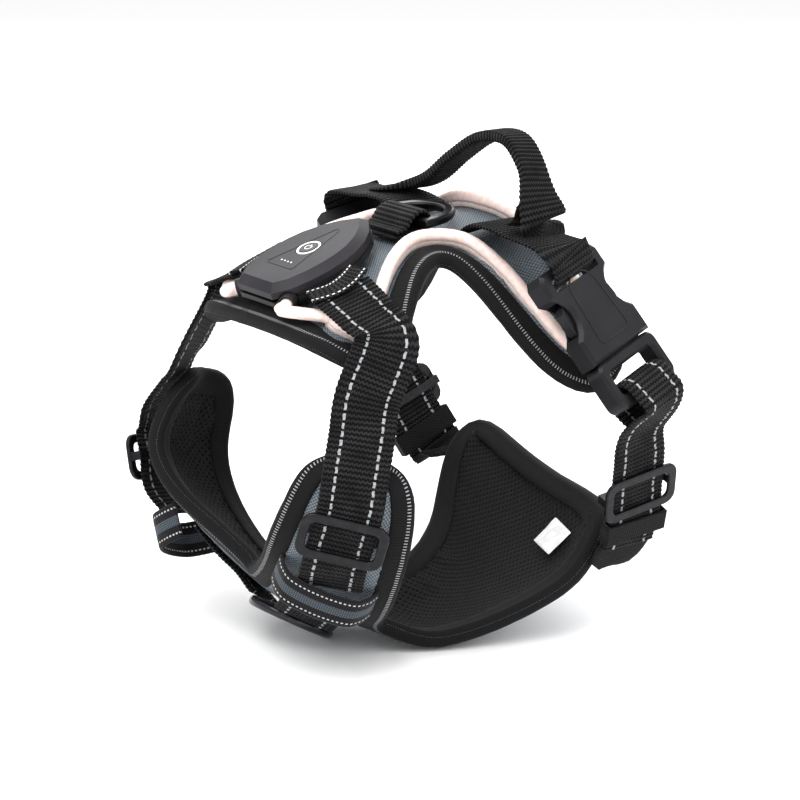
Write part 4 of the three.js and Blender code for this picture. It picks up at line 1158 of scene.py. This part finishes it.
def label():
    across, down = 12, 12
    points, uvs = [], []
    for i in range(down + 1):
        for j in range(across + 1):
            u, v = j / across, i / down
            place = CORNERS[0].lerp(CORNERS[1], u).lerp(CORNERS[3].lerp(CORNERS[2], u), v)
            points.append(place)
            uvs.append((u * LABEL_WIDE, v * LABEL_HIGH))
    quads = grid_quads(down + 1, across + 1)
    lift = [0.3 * (1 + noise.noise(p * 0.3)) for p in points]
    count = len(points)
    return slab("care_tag", points, quads, lambda face, i: uvs[i % count],
                lambda i: lift[i] - 0.2, lambda i: lift[i] + 0.15)


tag = finish(label(), LABEL, "harness", ["care_label"])


# ---- Hard pieces with eased edges ----

HARD = [
    ("module_cover", COVER, "harness", "cover_plastic", 0.7),
    ("module_base", BASE, "harness", "base_plastic", 0.5),
    ("power_button", KEY, "power_button", "button_plastic", 0.25),
    ("button_ring", WHITE, "harness", "light_lens", 0.12),
    ("charge_lights", WHITE, "harness", "light_lens", 0.08),
    ("port_plug", RUBBER, "port_plug", "seal_rubber", 0.3),
    ("back_ring", GUNMETAL, "back_ring", "ring_metal", 0.45),
]
for name, _ in SIDES:
    HARD += [
        (f"guide_ferrule_{name}", BASE, "harness", "base_plastic", 0.3),
        (f"buckle_socket_{name}", BUCKLE, "harness", "buckle_plastic", 0.6),
        (f"buckle_frame_{name}", BUCKLE, f"girth_side_{name}", "buckle_plastic", 0.6),
        (f"buckle_prong_front_{name}", BUCKLE, f"prong_front_{name}", "buckle_plastic", 0.4),
        (f"buckle_prong_rear_{name}", BUCKLE, f"prong_rear_{name}", "buckle_plastic", 0.4),
        (f"girth_slider_{name}", GUNMETAL, f"girth_slider_{name}", "slider_metal", 0.5),
        (f"shoulder_slider_{name}", GUNMETAL, f"shoulder_slider_{name}", "slider_metal", 0.5),
        (f"girth_keeper_{name}", TAB_CLOTH, f"girth_side_{name}", "webbing", 0.5),
    ]
for node, material, body, slot, width in HARD:
    finish(refined(node, width), material, body, [node])

for node, material in (
    ("module_gasket", RUBBER), ("module_battery", CELL), ("module_board", BOARD), ("button_dome", STEEL),
    ("charge_port", STEEL), ("guide_emitter_left", WHITE), ("guide_emitter_right", WHITE),
    ("module_screw_1", STEEL), ("module_screw_2", STEEL), ("module_screw_3", STEEL),
):
    for mesh_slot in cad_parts[node].material_slots:
        mesh_slot.material = material


# ---- Chest ring ----

def ring(name, place, radius, wire, around=72, section=20):
    points = []
    for k in range(around):
        turn = 2 * math.pi * k / around
        for c in range(section):
            bend = 2 * math.pi * c / section
            reach = radius + wire * math.cos(bend)
            points.append(place.point(reach * math.cos(turn), reach * math.sin(turn), wire * math.sin(bend)))
    outward = [(a, d, c, b) for a, b, c, d in sweep_faces(around, section, closed=True)]
    return build(name, points, outward)


CHEST_RADIUS = 16
CHEST_WIRE = 2.1
chest_lift = ARM_TOP + WEBBING_THICK + CHEST_WIRE + 0.7 + 0.4
middle, middle_normal = on_arm(len(ARMS) // 2, 0, chest_lift)
chest_place = Place(middle, Vector((1, 0, 0)), middle_normal)
chest_loop = ring("chest_loop", chest_place, CHEST_RADIUS, CHEST_WIRE)
finish(chest_loop, RING, "chest_ring", ["chest_ring"])


# ---- Raised and sunk marks of the module and the buckles ----

def bead(name, place, outline, radius, height, closed=True):
    """A thin raised line along an outline in a place's own plane, at a height."""
    sides = 8
    total = len(outline)
    points = []
    for k, (x, y) in enumerate(outline):
        before = outline[k - 1] if k or closed else outline[0]
        after = outline[(k + 1) % total] if k + 1 < total or closed else outline[-1]
        along = Vector((after[0] - before[0], after[1] - before[1], 0)).normalized()
        across = Vector((along.y, -along.x, 0))
        for c in range(sides):
            turn = 2 * math.pi * c / sides
            way = math.cos(turn) * across + math.sin(turn) * Vector((0, 0, 1))
            spot = Vector((x, y, height)) + radius * way
            points.append(place.point(*spot))
    return build(name, points, sweep_faces(total, sides, closed))


def arc(x, y, radius, first, last, steps=24):
    turns = [lerp(first, last, k / steps) for k in range(steps + 1)]
    return [(x + radius * math.cos(turn), y + radius * math.sin(turn)) for turn in turns]


BUTTON_Y = 25
TOP = 12
GROOVE_SIDE, GROOVE_FOOT, GROOVE_TIP = 7.6, 11.4, 38.5
groove = arc(-GROOVE_SIDE, GROOVE_FOOT, 1.2, math.pi * 0.8, math.pi * 1.5, 6)
groove += arc(GROOVE_SIDE, GROOVE_FOOT, 1.2, -math.pi / 2, math.pi * 0.2, 6)
groove += arc(0, GROOVE_TIP, 1.6, math.pi * 0.1, math.pi * 0.9, 8)
finish(bead("module_groove", MODULE, groove, 0.16, TOP), KEY, "harness")
symbol = arc(0, BUTTON_Y, 1.5, math.radians(125), math.radians(415))
stroke = [(0, BUTTON_Y + 0.5 + 0.28 * k) for k in range(6)]
for part, outline in (("arc", symbol), ("bar", stroke)):
    mark = bead(f"button_symbol_{part}", MODULE, outline, 0.17, TOP + 0.2, closed=False)
    finish(mark, WHITE, "power_button")

for name, side in SIDES:
    place = buckle_place(side)
    raised = arc(0, 13.5, 7.5, math.pi, 2 * math.pi, 12)
    raised += [(7.9, 20), (8.9, 33), (7.9, 34.6), (-7.9, 34.6), (-8.9, 33), (-7.9, 20)]
    finish(bead(f"buckle_relief_{name}", place, raised, 0.45, 5.2), BUCKLE, "harness")


# ---- Floor ----

def floor():
    mesh = bpy.data.meshes.new("floor")
    half = 3.0
    corners = [(-half, -half, 0), (half, -half, 0), (half, half, 0), (-half, half, 0)]
    mesh.from_pydata(corners, [], [(0, 1, 2, 3)])
    item = bpy.data.objects.new("floor", mesh)
    bpy.context.collection.objects.link(item)
    m = Nodes("floor", (0.96, 0.96, 0.96), 0.9)
    m.bump(m.noise(m.space(), 0.02), 0.05, 0.2)
    mesh.materials.append(m.material)


floor()
